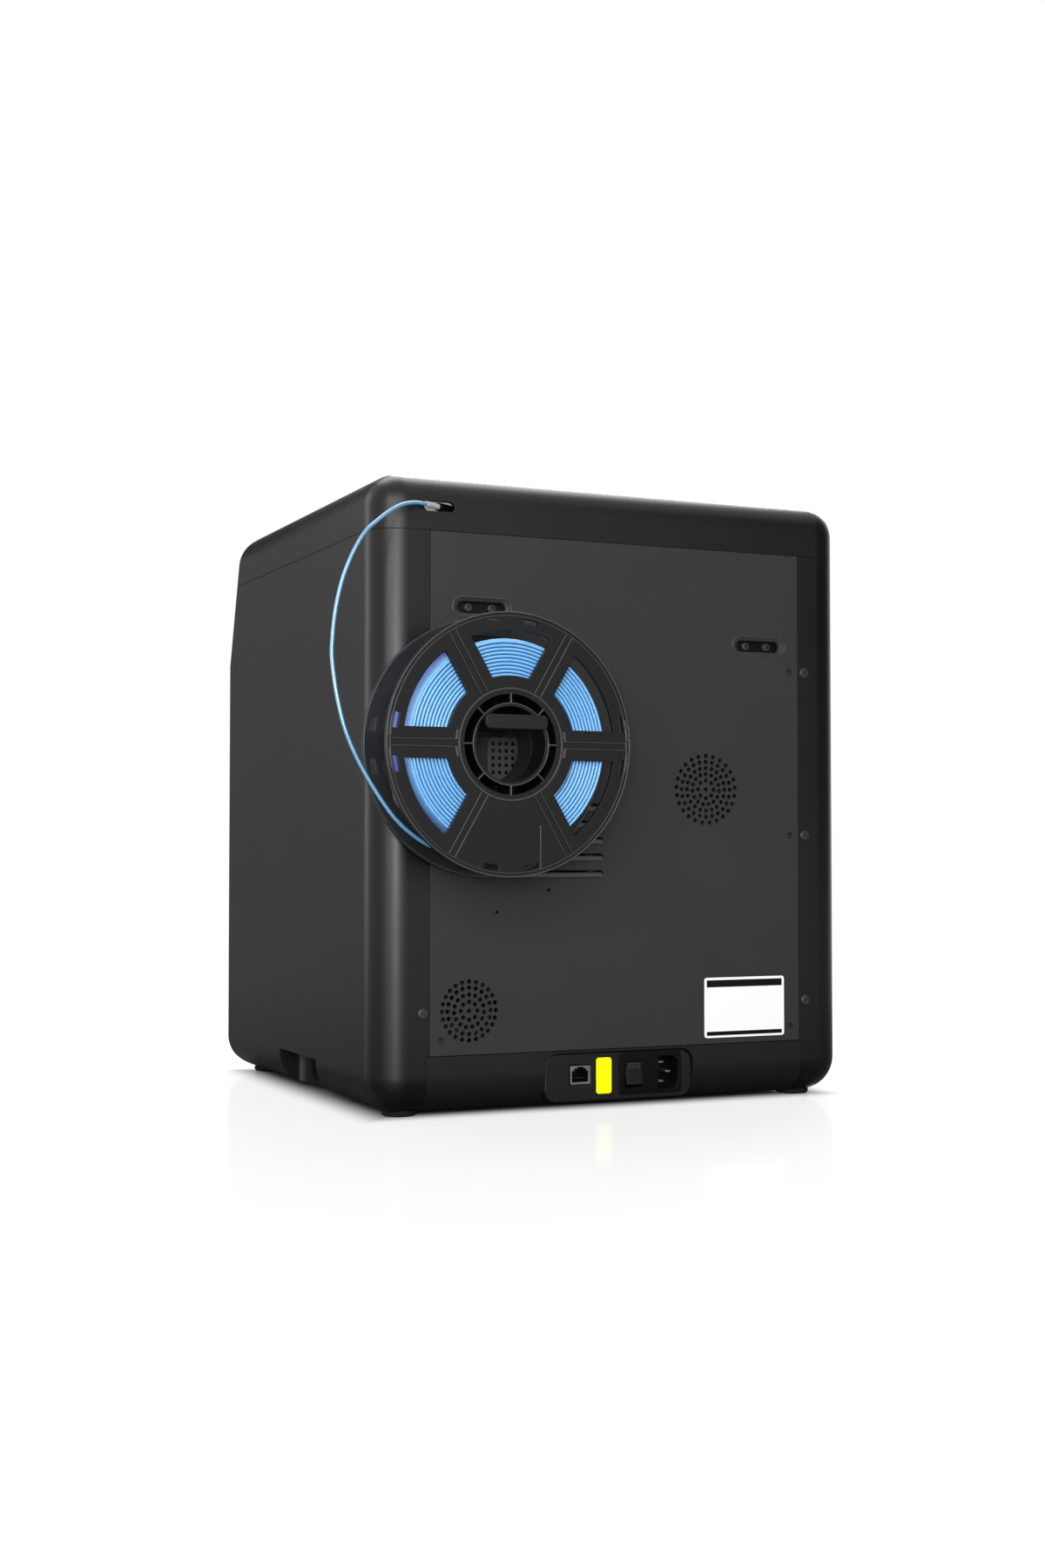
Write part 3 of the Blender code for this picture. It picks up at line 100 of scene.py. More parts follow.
# %% A value in a material
class Shade:
    """A socket in a material's tree, which Python's operators can be used on."""

    def __init__(self, tree, socket=None):
        self.tree = tree
        self.socket = socket

    def make(self, kind, settings=None, sockets=None, output=0):
        """Adds a node, with its settings first and then its sockets' values or links."""
        node = self.tree.nodes.new("ShaderNode" + kind)
        for name, value in (settings or {}).items():
            setattr(node, name, value)
        for name, value in (sockets or {}).items():
            if isinstance(value, Shade):
                self.tree.links.new(value.socket, node.inputs[name])
            else:
                node.inputs[name].default_value = value
        return Shade(self.tree, node.outputs[output])

    def maths(self, operation, first, second):
        return self.make("Math", {"operation": operation}, {0: first, 1: second})

    def __add__(self, other):
        return self.maths("ADD", self, other)

    __radd__ = __add__

    def __sub__(self, other):
        return self.maths("SUBTRACT", self, other)

    def __rsub__(self, other):
        return self.maths("SUBTRACT", other, self)

    def __mul__(self, other):
        return self.maths("MULTIPLY", self, other)

    __rmul__ = __mul__

    def __gt__(self, other):
        return self.maths("GREATER_THAN", self, other)

    def __lt__(self, other):
        return self.maths("LESS_THAN", self, other)

    def mix(self, first, second):
        """A colour between two, by this value: a Mix node takes them on sockets 6 and 7 and gives it on 2."""
        sockets = {0: self, 6: colour4(first), 7: colour4(second)}
        return self.make("Mix", {"data_type": "RGBA"}, sockets, output=2)

    def feed(self, shader, name):
        self.tree.links.new(self.socket, shader.inputs[name])


def colour4(colour):
    """A colour with its alpha, or a value that is already a socket."""
    return colour if isinstance(colour, Shade) else (*colour[:3], 1)


def new_finish(name, colour, roughness, metallic=0.0, constants=None):
    """A Principled material: returns it, its shader, and a value that holds the Object coordinates."""
    material = bpy.data.materials.new(name)
    material.use_nodes = True
    shader = material.node_tree.nodes["Principled BSDF"]
    shader.inputs["Base Color"].default_value = (*colour, 1)
    shader.inputs["Roughness"].default_value = roughness
    shader.inputs["Metallic"].default_value = metallic
    for socket, value in (constants or {}).items():
        shader.inputs[socket].default_value = value
    place = Shade(material.node_tree).make("TexCoord", output="Object")
    return material, shader, place


print("node maths ready")

# %% [markdown]
# ## Moulded plastic
# The housing is moulded in a dark plastic with a fine spark-eroded grain. Close to, the grain is a bump of
# about half a millimetre. From further away it only spreads the gloss, and the colour drifts a little
# between thick and thin walls. An image would need an unwrapped mesh, so both are noises in the piece's own
# coordinates: a fine one for the bump, and a slow one for colour and roughness.


# %% Moulded plastics
def moulded(name, colour, roughness, grain=0.5, relief=0.1, drift=0.12, specular=0.22):
    """A plastic with a grain of so many millimetres."""
    material, shader, place = new_finish(name, colour, roughness, 0, {"Specular IOR Level": specular})
    fine = place.make("TexNoise", {}, {"Vector": place, "Scale": 1 / (grain * MM), "Detail": 2.0})
    slow = place.make("TexNoise", {}, {"Vector": place, "Scale": 14.0, "Detail": 3.0})
    light = [c * (1 + drift) for c in colour]
    shade = [c * (1 - drift) for c in colour]
    slow.mix(shade, light).feed(shader, "Base Color")
    (roughness - 0.06 + slow * 0.08 + fine * 0.04).feed(shader, "Roughness")
    bump = place.make("Bump", {}, {"Height": fine, "Strength": relief, "Distance": 0.0003})
    bump.feed(shader, "Normal")
    return material


SHELL = moulded("shell_grain", (0.0028, 0.0028, 0.0031), 0.34, 0.5, 0.07, 0.12, 0.33)
PANEL = moulded("rear_panel_grain", (0.0242, 0.0242, 0.0249), 0.50, 0.6, 0.10)
# The vent patch is painted lighter than the panel: painted light in the shade behind the spool.
LIT_PATCH = moulded("vent_patch_painted_light", (0.06, 0.06, 0.062), 0.46, 0.6, 0.10)
CHASSIS = moulded("chassis_satin", (0.0076, 0.0076, 0.0080), 0.42, 0.4, 0.08)
BASE = moulded("base_satin", (0.004, 0.004, 0.0045), 0.50, 0.5, 0.08)
SPOOL = moulded("spool_satin", (0.0042, 0.0042, 0.0046), 0.30, 0.9, 0.04, 0.12, 0.25)
# The rear half is painted lighter than the front one: painted light on its face, which the front flange
# shades.
LIT_SPOOL_REAR = moulded("spool_rear_painted_light", (0.013, 0.013, 0.0142), 0.30, 0.9, 0.04, 0.12, 0.25)
SOCKET = moulded("socket_black", (0.003, 0.003, 0.0035), 0.26, 0.4, 0.05, 0.12, 0.12)
ROCKER = moulded("rocker_black", (0.0042, 0.0042, 0.0046), 0.36, 0.4, 0.05)
# A lighter colour for thin raised lines, beads, lips and ribs: a painted highlight for the light on their
# edges.
HIGHLIGHT_TRIM = moulded("painted_edge_highlights", (0.030, 0.030, 0.031), 0.22, 0.9, 0.03, 0.12, 0.5)
RUBBER = moulded("foot_rubber", (0.006, 0.006, 0.006), 0.85, 0.3, 0.25)
plastics = (SHELL, PANEL, LIT_PATCH, CHASSIS, BASE, SPOOL, LIT_SPOOL_REAR, SOCKET, ROCKER, HIGHLIGHT_TRIM, RUBBER)
print("plastics:", [plastic.name for plastic in plastics])

# %% [markdown]
# ## Filament, acrylic and metals
# Filament is drawn from a die, so it is smooth and silky with faint streaks. The lid and the door are
# smoked acrylic that lets some of the inside show, and the lid's is a little hazy. Real refraction takes
# many samples, so a dark plastic with some alpha stands for it. Rods are ground steel and frames are folded
# aluminium. Each metal gets fine lines in its roughness, because a perfectly even metal looks like plastic.


# %% Filament, acrylic, metals
def drawn_filament(name, dark, light, coat, deep=None):
    """Streaky plastic under a coat (weight, roughness, IOR), perhaps with a painted shade of deeper blue
    further in.
    """
    constants = dict(zip(("Coat Weight", "Coat Roughness", "Coat IOR"), coat))
    material, shader, place = new_finish(name, light, 0.3, 0, constants)
    streak = place.make("TexNoise", {}, {"Vector": place, "Scale": 220.0, "Detail": 2.0})
    colour = streak.mix(dark, light)
    # Painted shade: turns further in along Y take a deeper blue.
    if deep:
        shade, far, near = deep
        along = place.make("SeparateXYZ", {}, {"Vector": place}, output=1)
        nearness = place.make("MapRange", {}, {"Value": along, "From Min": far, "From Max": near})
        colour = nearness.mix(shade, colour)
    colour.feed(shader, "Base Color")
    (0.24 + streak * 0.12).feed(shader, "Roughness")
    return material


def smoked(name, alpha, roughness=0.04, specular=0.5):
    """A dark see-through plastic, with smears that change its roughness."""
    gloss = {"Specular IOR Level": specular}
    material, shader, place = new_finish(name, (0.012, 0.012, 0.014), roughness, 0, gloss)
    smear = place.make("TexNoise", {}, {"Vector": place, "Scale": 9.0, "Detail": 4.0})
    (roughness + smear * 0.07).feed(shader, "Roughness")
    shader.inputs["Alpha"].default_value = alpha
    return material


def metal(name, colour, roughness, stretch):
    """A metal whose fine lines run along one axis, which the stretch leaves coarse."""
    material, shader, place = new_finish(name, colour, roughness, 1.0)
    stretched = place.make("Mapping", {}, {"Vector": place, "Scale": stretch})
    lines = place.make("TexNoise", {}, {"Vector": stretched, "Scale": 900.0, "Detail": 3.0})
    (roughness - 0.08 + lines * 0.18).feed(shader, "Roughness")
    lines.mix([c * 0.88 for c in colour], [min(c * 1.08, 1) for c in colour]).feed(shader, "Base Color")
    bump = place.make("Bump", {}, {"Height": lines, "Strength": 0.05, "Distance": 0.0001})
    bump.feed(shader, "Normal")
    return material


# The free strand is painted a darker blue than the wound turns: painted shade for its edges, while its coat
# gives the highlight.
SHADED_STRAND_BLUE = drawn_filament("free_filament_shaded_blue", (0.07, 0.25, 0.42), (0.09, 0.30, 0.50), (1.0, 0.15, 2.0))
ACRYLIC = smoked("smoked_acrylic", 0.60)
HAZY_ACRYLIC = smoked("hazy_acrylic", 0.48, 0.30, 0.12)
SCREEN = smoked("screen_glass", 1.0)
ROD = metal("ground_rod", (0.60, 0.61, 0.62), 0.24, (1.0, 0.04, 1.0))
ROD_UP = metal("ground_rod_upright", (0.60, 0.61, 0.62), 0.24, (1.0, 1.0, 0.04))
SHEET = metal("folded_sheet", (0.55, 0.56, 0.57), 0.42, (0.05, 1.0, 1.0))
SHIELD = metal("socket_shield", (0.27, 0.27, 0.275), 0.40, (1.0, 1.0, 0.1))
BLACK_STEEL = moulded("blackened_screw", (0.019, 0.019, 0.020), 0.42, 0.3, 0.05, 0.12, 0.4)
BRASS = metal("turned_brass", (0.78, 0.56, 0.24), 0.28, (1.0, 1.0, 0.1))
# The gilt contacts are painted a dark gold: painted shade inside the socket.
DARKENED_GOLD = metal("contact_gold_painted_shade", (0.20, 0.15, 0.07), 0.30, (1.0, 0.2, 1.0))
TUBE = moulded("guide_tube_white", (0.42, 0.42, 0.45), 0.20, 0.8, 0.03, 0.12, 0.6)
print("filament, acrylic and metals ready")

# %% [markdown]
# ## The free filament
# One stretch of filament runs free, from the guide tube in the top cover down to the underside of the
# spool. It is springy, so it keeps one open curve. A Bezier spline could draw it too. Here a smooth curve
# is worked out through a list of given points, because that gives its length as well.


# %% The free filament
def smooth_route(route, steps):
    """Points of a smooth curve through every point of a route."""
    ends = [2 * route[0] - route[1], *route, 2 * route[-1] - route[-2]]
    points = []
    for before, start, end, after in zip(ends, ends[1:], ends[2:], ends[3:]):
        for step in range(steps):
            t = step / steps
            bend = (2 * before - 5 * start + 4 * end - after) * t * t
            twist = (3 * start - before - 3 * end + after) * t**3
            points.append((2 * start + (end - before) * t + bend + twist) / 2)
    return [*points, route[-1]]


STRAND = 2.85
SPOOL_X, SPOOL_Z = 115.0, 259.0
LEAVES = math.radians(-105)
LANDING = 74.6
tube_end = here(156, 190.9, 428.7)
tube_heading = Vector((0.85, 0.527, 0)).normalized()


def on_spool(radius, angle, y):
    return here(SPOOL_X + radius * math.cos(angle), y, SPOOL_Z + radius * math.sin(angle))


landing = on_spool(LANDING, LEAVES, 212.5)
way_back = Vector((-math.sin(LEAVES), 0, math.cos(LEAVES)))
route_middle = (
    (166.1, 195.0, 428.3), (176.4, 198.2, 425.7), (186.3, 200.4, 420.3), (195.8, 202.0, 413.0),
    (205.1, 203.0, 404.5), (212.7, 203.8, 392.6), (218.8, 204.5, 379.5), (223.3, 205.0, 366.6),
    (227.2, 205.7, 349.6), (229.5, 206.3, 331.4), (229.9, 206.8, 314.7), (226.0, 208.0, 287.0),
    (219.0, 208.8, 262.4), (206.0, 210.3, 236.4), (187.5, 211.9, 209.7), (169.9, 212.5, 194.7),
    (155.9, 212.5, 188.2), (139.4, 212.5, 183.9), (123.0, 212.5, 182.4), (108.4, 212.5, 183.9),
)
strand_route = [tube_end - tube_heading * 0.006, tube_end, *(here(*point) for point in route_middle)]
strand_route += [landing + way_back * (2 * STRAND * MM), landing]
strand_points = smooth_route(strand_route, 6)
strand_length = sum((b - a).length for a, b in zip(strand_points, strand_points[1:]))
strand_curve = bpy.data.curves.new("free_filament", "CURVE")
strand_curve.dimensions = "3D"
strand_curve.bevel_depth = STRAND / 2 * MM
strand_curve.bevel_resolution = 4
strand_curve.use_fill_caps = True
strand_spline = strand_curve.splines.new("POLY")
strand_spline.points.add(len(strand_points) - 1)
for place, point in zip(strand_spline.points, strand_points):
    place.co = (*point, 1)
strand_curve.materials.append(SHADED_STRAND_BLUE)
strand = bpy.data.objects.new("free_filament", strand_curve)
bpy.context.scene.collection.objects.link(strand)
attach(strand, "housing")
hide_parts("filament_strand")
print("free filament:", round(strand_length, 3), "m long")

# %% [markdown]
# ## Tools for outlines
# Nearly every piece of this machine starts as a flat outline in millimetres: an arc, a circle or a
# rectangle with round corners. They could be drawn by hand in Edit Mode, but a few short functions keep
# every size in view and easy to change.


# %% Outlines
def arc(centre, radius, start, end, steps):
    angles = [math.radians(start + (end - start) * step / steps) for step in range(steps + 1)]
    return [(centre[0] + radius * math.cos(a), centre[1] + radius * math.sin(a)) for a in angles]


def circle(centre, radius, sides=64):
    return arc(centre, radius, 0, 360, sides)[:-1]


def rounded(first, second, radius, steps=8):
    """A rectangle with round corners, from its two spans."""
    low_a, high_a = first[0] + radius, first[1] - radius
    low_b, high_b = second[0] + radius, second[1] - radius
    corners = ((high_a, high_b, 0), (low_a, high_b, 90), (low_a, low_b, 180), (high_a, low_b, 270))
    points = []
    for a, b, start in corners:
        points += arc((a, b), radius, start, start + 90, steps)
    return points


def span(centre, size):
    return (centre - size / 2, centre + size / 2)


print("a rounded square has", len(rounded((0, 10), (0, 10), 2)), "points")

# %% [markdown]
# ## Moving an outline
# Rims, collars and rounded edges follow another outline at a small distance. Scaling would move the far
# ends further than the near ones, so each point moves along the middle of its two edges' normals instead.


# %% Outlines moved outwards
def grown(points, distance):
    """The outline moved outwards, or inwards where the distance is negative."""
    area = sum(a[0] * b[1] - b[0] * a[1] for a, b in zip(points, points[1:] + points[:1]))
    sign = 1 if area > 0 else -1
    moved = []
    for before, point, after in zip(points[-1:] + points[:-1], points, points[1:] + points[:1]):
        first = Vector((point[1] - before[1], before[0] - point[0])).normalized()
        second = Vector((after[1] - point[1], point[0] - after[0])).normalized()
        middle = (first + second).normalized()
        reach = distance * sign / max(middle.dot(first), 0.5)
        moved.append((point[0] + middle.x * reach, point[1] + middle.y * reach))
    return moved


print("a circle of 5 mm, moved out by 1 mm, reaches", round(grown(circle((0, 0), 5), 1)[0][0], 2), "mm")

# %% [markdown]
# ## Pressed solids
# Most pieces are a flat outline with holes, pressed to a thickness, with softly rounded edges that catch
# the light. A filled 2D curve with a bevel makes exactly that. The curve becomes a mesh at once, with its
# place in its points, so that every object can stay at the origin.


# %% Solids
def at(axis, first, second, along):
    """A point in the machine, from its two plane coordinates and its place along the axis."""
    places = {"X": (along, first, second), "Y": (first, along, second), "Z": (first, second, along)}
    return here(*places[axis])


def mesh_from(bm):
    """A mesh with merged points and faces that look outwards."""
    bmesh.ops.remove_doubles(bm, verts=bm.verts, dist=1e-6)
    bmesh.ops.recalc_face_normals(bm, faces=bm.faces)
    mesh = bpy.data.meshes.new("piece")
    bm.to_mesh(mesh)
    bm.free()
    return mesh


def evaluated(data, modifiers=()):
    """The plain mesh that comes out of some data with some modifiers on it."""
    work = bpy.data.objects.new("work", data)
    bpy.context.scene.collection.objects.link(work)
    for kind, settings in modifiers:
        modifier = work.modifiers.new(kind, kind)
        for name, value in settings.items():
            setattr(modifier, name, value)
    graph = bpy.context.evaluated_depsgraph_get()
    mesh = bpy.data.meshes.new_from_object(work.evaluated_get(graph))
    bpy.data.objects.remove(work)
    return mesh


def pressed(outline, holes, axis, low, high, edge=0.4):
    """A flat piece between two places along an axis, with rounded edges."""
    curve = bpy.data.curves.new("outline", "CURVE")
    curve.dimensions = "2D"
    curve.fill_mode = "BOTH"
    curve.extrude = (high - low) / 2 - edge
    curve.bevel_depth = edge
    curve.bevel_resolution = 2
    for loop in (grown(outline, -edge), *(grown(hole, edge) for hole in holes)):
        spline = curve.splines.new("POLY")
        spline.use_cyclic_u = True
        spline.points.add(len(loop) - 1)
        for place, (first, second) in zip(spline.points, loop):
            place.co = (first, second, 0, 1)
    flat = evaluated(curve)
    bm = bmesh.new()
    bm.from_mesh(flat)
    for vert in bm.verts:
        vert.co = at(axis, vert.co.x, vert.co.y, (low + high) / 2 + vert.co.z)
    return mesh_from(bm)


print("solid tools ready: outlines are pressed with rounded edges")

# %% [markdown]
# ## Lofted and turned solids
# Feet, shafts and the nozzle are turned on a lathe, and the housing's block changes its outline from level
# to level. Both are skins over a row of rings, so one loft serves them all.


# %% Lofted and turned solids
def loft(rings):
    """A closed skin over rings of points that are already in metres."""
    bm = bmesh.new()
    rows = [[bm.verts.new(point) for point in ring] for ring in rings]
    for row, above in zip(rows, rows[1:]):
        for index in range(len(row)):
            after = (index + 1) % len(row)
            bm.faces.new((row[index], row[after], above[after], above[index]))
    bm.faces.new(rows[0])
    bm.faces.new(rows[-1])
    return mesh_from(bm)


def turned(profile, centre, axis, sides=48):
    """A piece turned on a lathe: its profile is a list of radius and place along the axis."""
    rings = []
    for radius, along in profile:
        rings.append([at(axis, *point, along) for point in circle(centre, radius, sides)])
    return loft(rings)


def block(low, high):
    outline = [(low[0], low[1]), (high[0], low[1]), (high[0], high[1]), (low[0], high[1])]
    return loft([[here(*point, z) for point in outline] for z in (low[2], high[2])])


def prism(outline, axis, low, high):
    return loft([[at(axis, *point, along) for point in outline] for along in (low, high)])


print("a block has", len(block((0, 0, 0), (1, 1, 1)).polygons), "faces")

# %% [markdown]
# ## Cutting and joining
# Doorways, bores and seams are cut, as a maker would cut them. The exact Boolean solver leaves clean edges
# for that. Pieces that only stand side by side are joined without a Boolean, because it is quicker and
# can't fail.


# %% Cutting and joining
def boolean(operation, first, tools):
    """What is left of the first mesh after a Boolean with each tool."""
    helpers = [bpy.data.objects.new("tool", tool) for tool in tools]
    for helper in helpers:
        bpy.context.scene.collection.objects.link(helper)
    method = {"operation": operation, "solver": "EXACT"}
    result = evaluated(first, [("BOOLEAN", method | {"object": helper}) for helper in helpers])
    for helper in helpers:
        bpy.data.objects.remove(helper)
    return result


def cut(first, *tools):
    return boolean("DIFFERENCE", first, tools)


def common(first, *tools):
    return boolean("INTERSECT", first, tools)


def merged(meshes):
    """Several meshes as one, side by side."""
    bm = bmesh.new()
    for mesh in meshes:
        bm.from_mesh(mesh)
    mesh = bpy.data.meshes.new("piece")
    bm.to_mesh(mesh)
    bm.free()
    return mesh


cut_corner = cut(block((0, 0, 0), (2, 2, 2)), block((1, 1, 1), (3, 3, 3)))
print("a block with a corner cut out has", len(cut_corner.polygons), "faces")

# %% [markdown]
# ## Putting pieces in place
# Every piece ends alike: rounded edges where it needs them, smooth shading with sharp creases, its finish,
# and the body that it rides on. One function does all that, and weighted normals keep the big flat faces
# flat beside small roundings. Solids that already have the right shape are only polished.


# %% Putting pieces in place
def place_piece(name, mesh, finish, stands_for=(), body="housing", edge=0.0, sharp=35):
    """Rounds and shades a mesh, gives it its finish, and lets it ride on its body."""
    if edge:
        softened = {"width": edge * MM, "segments": 2, "limit_method": "ANGLE", "angle_limit": 0.6}
        mesh = evaluated(mesh, [("BEVEL", softened | {"use_clamp_overlap": False})])
    mesh.shade_smooth()
    mesh.set_sharp_from_angle(angle=math.radians(sharp))
    shaded = evaluated(mesh, [("WEIGHTED_NORMAL", {"keep_sharp": True})])
    shaded.name = name
    shaded.materials.clear()
    shaded.materials.append(finish)
    piece = bpy.data.objects.new(name, shaded)
    bpy.context.scene.collection.objects.link(piece)
    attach(piece, body)
    if stands_for:
        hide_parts(*stands_for)
    print(name, len(shaded.polygons), "faces")


def polish(finish, edge, *nodes):
    """Gives solids that already have the right shape a finish, merged points and softened edges."""
    for name in nodes:
        solid = frame["nodes"][name]
        solid.data.materials.clear()
        solid.data.materials.append(finish)
        solid.data.shade_smooth()
        weld = solid.modifiers.new("weld", "WELD")
        weld.merge_threshold = 0.00001
        if edge:
            bevel = solid.modifiers.new("edge", "BEVEL")
            bevel.width = edge * MM
            bevel.segments = 2
            bevel.limit_method = "ANGLE"
            bevel.angle_limit = 0.6
        solid.modifiers.new("normals", "WEIGHTED_NORMAL")
    print("polished", len(nodes), "solids with", finish.name)


print("ready to place pieces over", len(frame["nodes"]), "solids")

# %% [markdown]
# ## Node trees for what repeats
# Holes in a ring or a grid, screws, threads and windings all repeat by a rule. Each rule is one geometry
# tree with named inputs. A helper runs a tree on a starting mesh and keeps the result as a plain mesh.


# %% Growing meshes from trees
def new_tree(name, inputs):
    """An empty tree with a geometry input, the named inputs, a finish and a geometry output."""
    tree = bpy.data.node_groups.new(name, "GeometryNodeTree")
    tree.is_modifier = True
    tree.interface.new_socket("Geometry", in_out="INPUT", socket_type="NodeSocketGeometry")
    for label, kind in (*inputs, ("Finish", "Material")):
        tree.interface.new_socket(label, in_out="INPUT", socket_type="NodeSocket" + kind)
    tree.interface.new_socket("Geometry", in_out="OUTPUT", socket_type="NodeSocketGeometry")
    return tree, tree.nodes.new("NodeGroupInput").outputs, tree.nodes.new("NodeGroupOutput").inputs[0]


def add_node(tree, kind, sockets, settings=None):
    """One node of a tree, with its settings first and then its sockets' values or links."""
    node = tree.nodes.new(kind)
    for name, value in (settings or {}).items():
        setattr(node, name, value)
    for name, value in sockets.items():
        if isinstance(value, bpy.types.NodeSocket):
            tree.links.new(value, node.inputs[name])
        else:
            node.inputs[name].default_value = value
    return node.outputs


def end_tree(tree, instances, finish, leave):
    """Every tree ends alike: real geometry with a finish."""
    real = add_node(tree, "GeometryNodeRealizeInstances", {"Geometry": instances})
    dressed = add_node(tree, "GeometryNodeSetMaterial", {"Geometry": real[0], "Material": finish})
    tree.links.new(dressed[0], leave)
    return tree


def grow(tree, start, values):
    """The plain mesh that a tree makes of a starting mesh."""
    work = bpy.data.objects.new("work", start)
    bpy.context.scene.collection.objects.link(work)
    modifier = work.modifiers.new("grow", "NODES")
    modifier.node_group = tree
    names = {item.name: item.identifier for item in tree.interface.items_tree if item.in_out == "INPUT"}
    for label, value in values.items():
        modifier[names[label]] = value
    mesh = bpy.data.meshes.new_from_object(work.evaluated_get(bpy.context.evaluated_depsgraph_get()))
    work.modifiers.remove(modifier)
    bpy.data.objects.remove(work)
    return mesh


def points_mesh(points, chained=False):
    """A mesh of bare points, or of one chain of edges."""
    mesh = bpy.data.meshes.new("points")
    edges = [(n, n + 1) for n in range(len(points) - 1)] if chained else []
    mesh.from_pydata([tuple(p) for p in points], edges, [])
    return mesh


print("tree tools ready")

# %% [markdown]
# ## Pegs, stamps and tubes
# Three small trees serve most of the machine: pegs in a ring cut the perforations, stamps on points set
# screws and teeth, and tubes on a path make wire and filament. One big tree with switches could do it all,
# but small ones are easier to read.

# %% Pegs in a ring, stamps on points, tubes on a path
ring_inputs = [("Ring Radius", "Float"), ("Count", "Int"), ("Peg Radius", "Float"), ("Length", "Float")]
ring_tree, ring_in, ring_out = new_tree("pegs_in_a_ring", ring_inputs)
ring_size = {"Vertices": ring_in["Count"], "Radius": ring_in["Ring Radius"]}
ring = add_node(ring_tree, "GeometryNodeMeshCircle", ring_size)
peg_size = {"Vertices": 14, "Radius": ring_in["Peg Radius"], "Depth": ring_in["Length"]}
peg = add_node(ring_tree, "GeometryNodeMeshCylinder", peg_size)
pegs = add_node(ring_tree, "GeometryNodeInstanceOnPoints", {"Points": ring[0], "Instance": peg["Mesh"]})
end_tree(ring_tree, pegs[0], ring_in["Finish"], ring_out)

stamp_tree, stamp_in, stamp_out = new_tree("stamps_on_points", [("Stamp", "Object")])
stamp = add_node(stamp_tree, "GeometryNodeObjectInfo", {"Object": stamp_in["Stamp"]})
stamp_set = {"Points": stamp_in["Geometry"], "Instance": stamp["Geometry"]}
stamps = add_node(stamp_tree, "GeometryNodeInstanceOnPoints", stamp_set)
end_tree(stamp_tree, stamps[0], stamp_in["Finish"], stamp_out)

tube_tree, tube_in, tube_out = new_tree("tube_on_a_path", [("Radius", "Float"), ("Sides", "Int")])
path = add_node(tube_tree, "GeometryNodeMeshToCurve", {"Mesh": tube_in["Geometry"]})
rim_size = {"Resolution": tube_in["Sides"], "Radius": tube_in["Radius"]}
rim = add_node(tube_tree, "GeometryNodeCurvePrimitiveCircle", rim_size)
tube_parts = {"Curve": path[0], "Profile Curve": rim[0], "Fill Caps": True}
tube = add_node(tube_tree, "GeometryNodeCurveToMesh", tube_parts)
end_tree(tube_tree, tube[0], tube_in["Finish"], tube_out)
print("trees:", [tree.name for tree in (ring_tree, stamp_tree, tube_tree)])

# %% [markdown]
# ## Copies around an axis
# Spokes, ribs and fan blades repeat around an axis. A line of points that all lie at the origin gives each
# copy a number, and the number gives its turn.

# %% Copies around an axis
turn_tree, turn_in, turn_out = new_tree("turned_copies", [("Stamp", "Object"), ("Count", "Int")])
row = add_node(turn_tree, "GeometryNodeMeshLine", {"Count": turn_in["Count"], "Offset": (0, 0, 0)})
number = add_node(turn_tree, "GeometryNodeInputIndex", {})
share = add_node(turn_tree, "ShaderNodeMath", {0: number[0], 1: turn_in["Count"]}, {"operation": "DIVIDE"})
angle = add_node(turn_tree, "ShaderNodeMath", {0: share[0], 1: 2 * math.pi}, {"operation": "MULTIPLY"})
spin = add_node(turn_tree, "ShaderNodeCombineXYZ", {"Z": angle[0]})
turn_die = add_node(turn_tree, "GeometryNodeObjectInfo", {"Object": turn_in["Stamp"]})
turn_set = {"Points": row[0], "Instance": turn_die["Geometry"], "Rotation": spin[0]}
turn_copies = add_node(turn_tree, "GeometryNodeInstanceOnPoints", turn_set)
end_tree(turn_tree, turn_copies[0], turn_in["Finish"], turn_out)


def turned_copies(shape, count, finish):
    """A shape, drawn beside the Z axis at the origin, copied around that axis."""
    die = bpy.data.objects.new("die", shape)
    bpy.context.scene.collection.objects.link(die)
    mesh = grow(turn_tree, points_mesh([(0, 0, 0)]), {"Stamp": die, "Count": count, "Finish": finish})
    bpy.data.objects.remove(die)
    return mesh


def at_origin(mesh):
    """A mesh that was drawn about the machine's zero point, moved to the world's."""
    mesh.transform(Matrix.Translation(-here(0, 0, 0)))
    return mesh


def stamped(shape, points, finish):
    """A small shape, drawn at the origin, set on each of the points."""
    die = bpy.data.objects.new("die", shape)
    bpy.context.scene.collection.objects.link(die)
    mesh = grow(stamp_tree, points_mesh(points), {"Stamp": die, "Finish": finish})
    bpy.data.objects.remove(die)
    return mesh


def tube_along(points, radius, finish, sides=10):
    """A round tube along a chain of points."""
    values = {"Radius": radius * MM, "Sides": sides, "Finish": finish}
    return grow(tube_tree, points_mesh(points, True), values)


print("tree:", turn_tree.name)

# %% [markdown]
# ## Wound filament
# Through the spool's windows the turns show as bright arcs side by side. The outer layer is one unbroken
# tube: it spirals out over the front face and winds back over the drum, and the free end comes to lie on
# it. Separate rings would be simpler, but a spiral leans a little, as real turns do. A second spiral lies
# on the rear face, and a ribbed core, painted dark blue as painted shade, closes the gaps between the turns.
# Turns that lie further in are painted a deeper blue, a painted shade for the flanges' shadow.

# %% Wound filament
FACE_Y, REAR_Y = 240.0, 203.0
WOUND = 2.05
FACE_TURNS, LAYER_TURNS = 10, 13
TURN_POINTS = 72
FIRST_TURN, LAST_TURN, REAR_LAST_TURN = 46.4, 71.6, 70.0
WOUND_BLUES = ((0.125, 0.37, 0.71), (0.18, 0.46, 0.79))
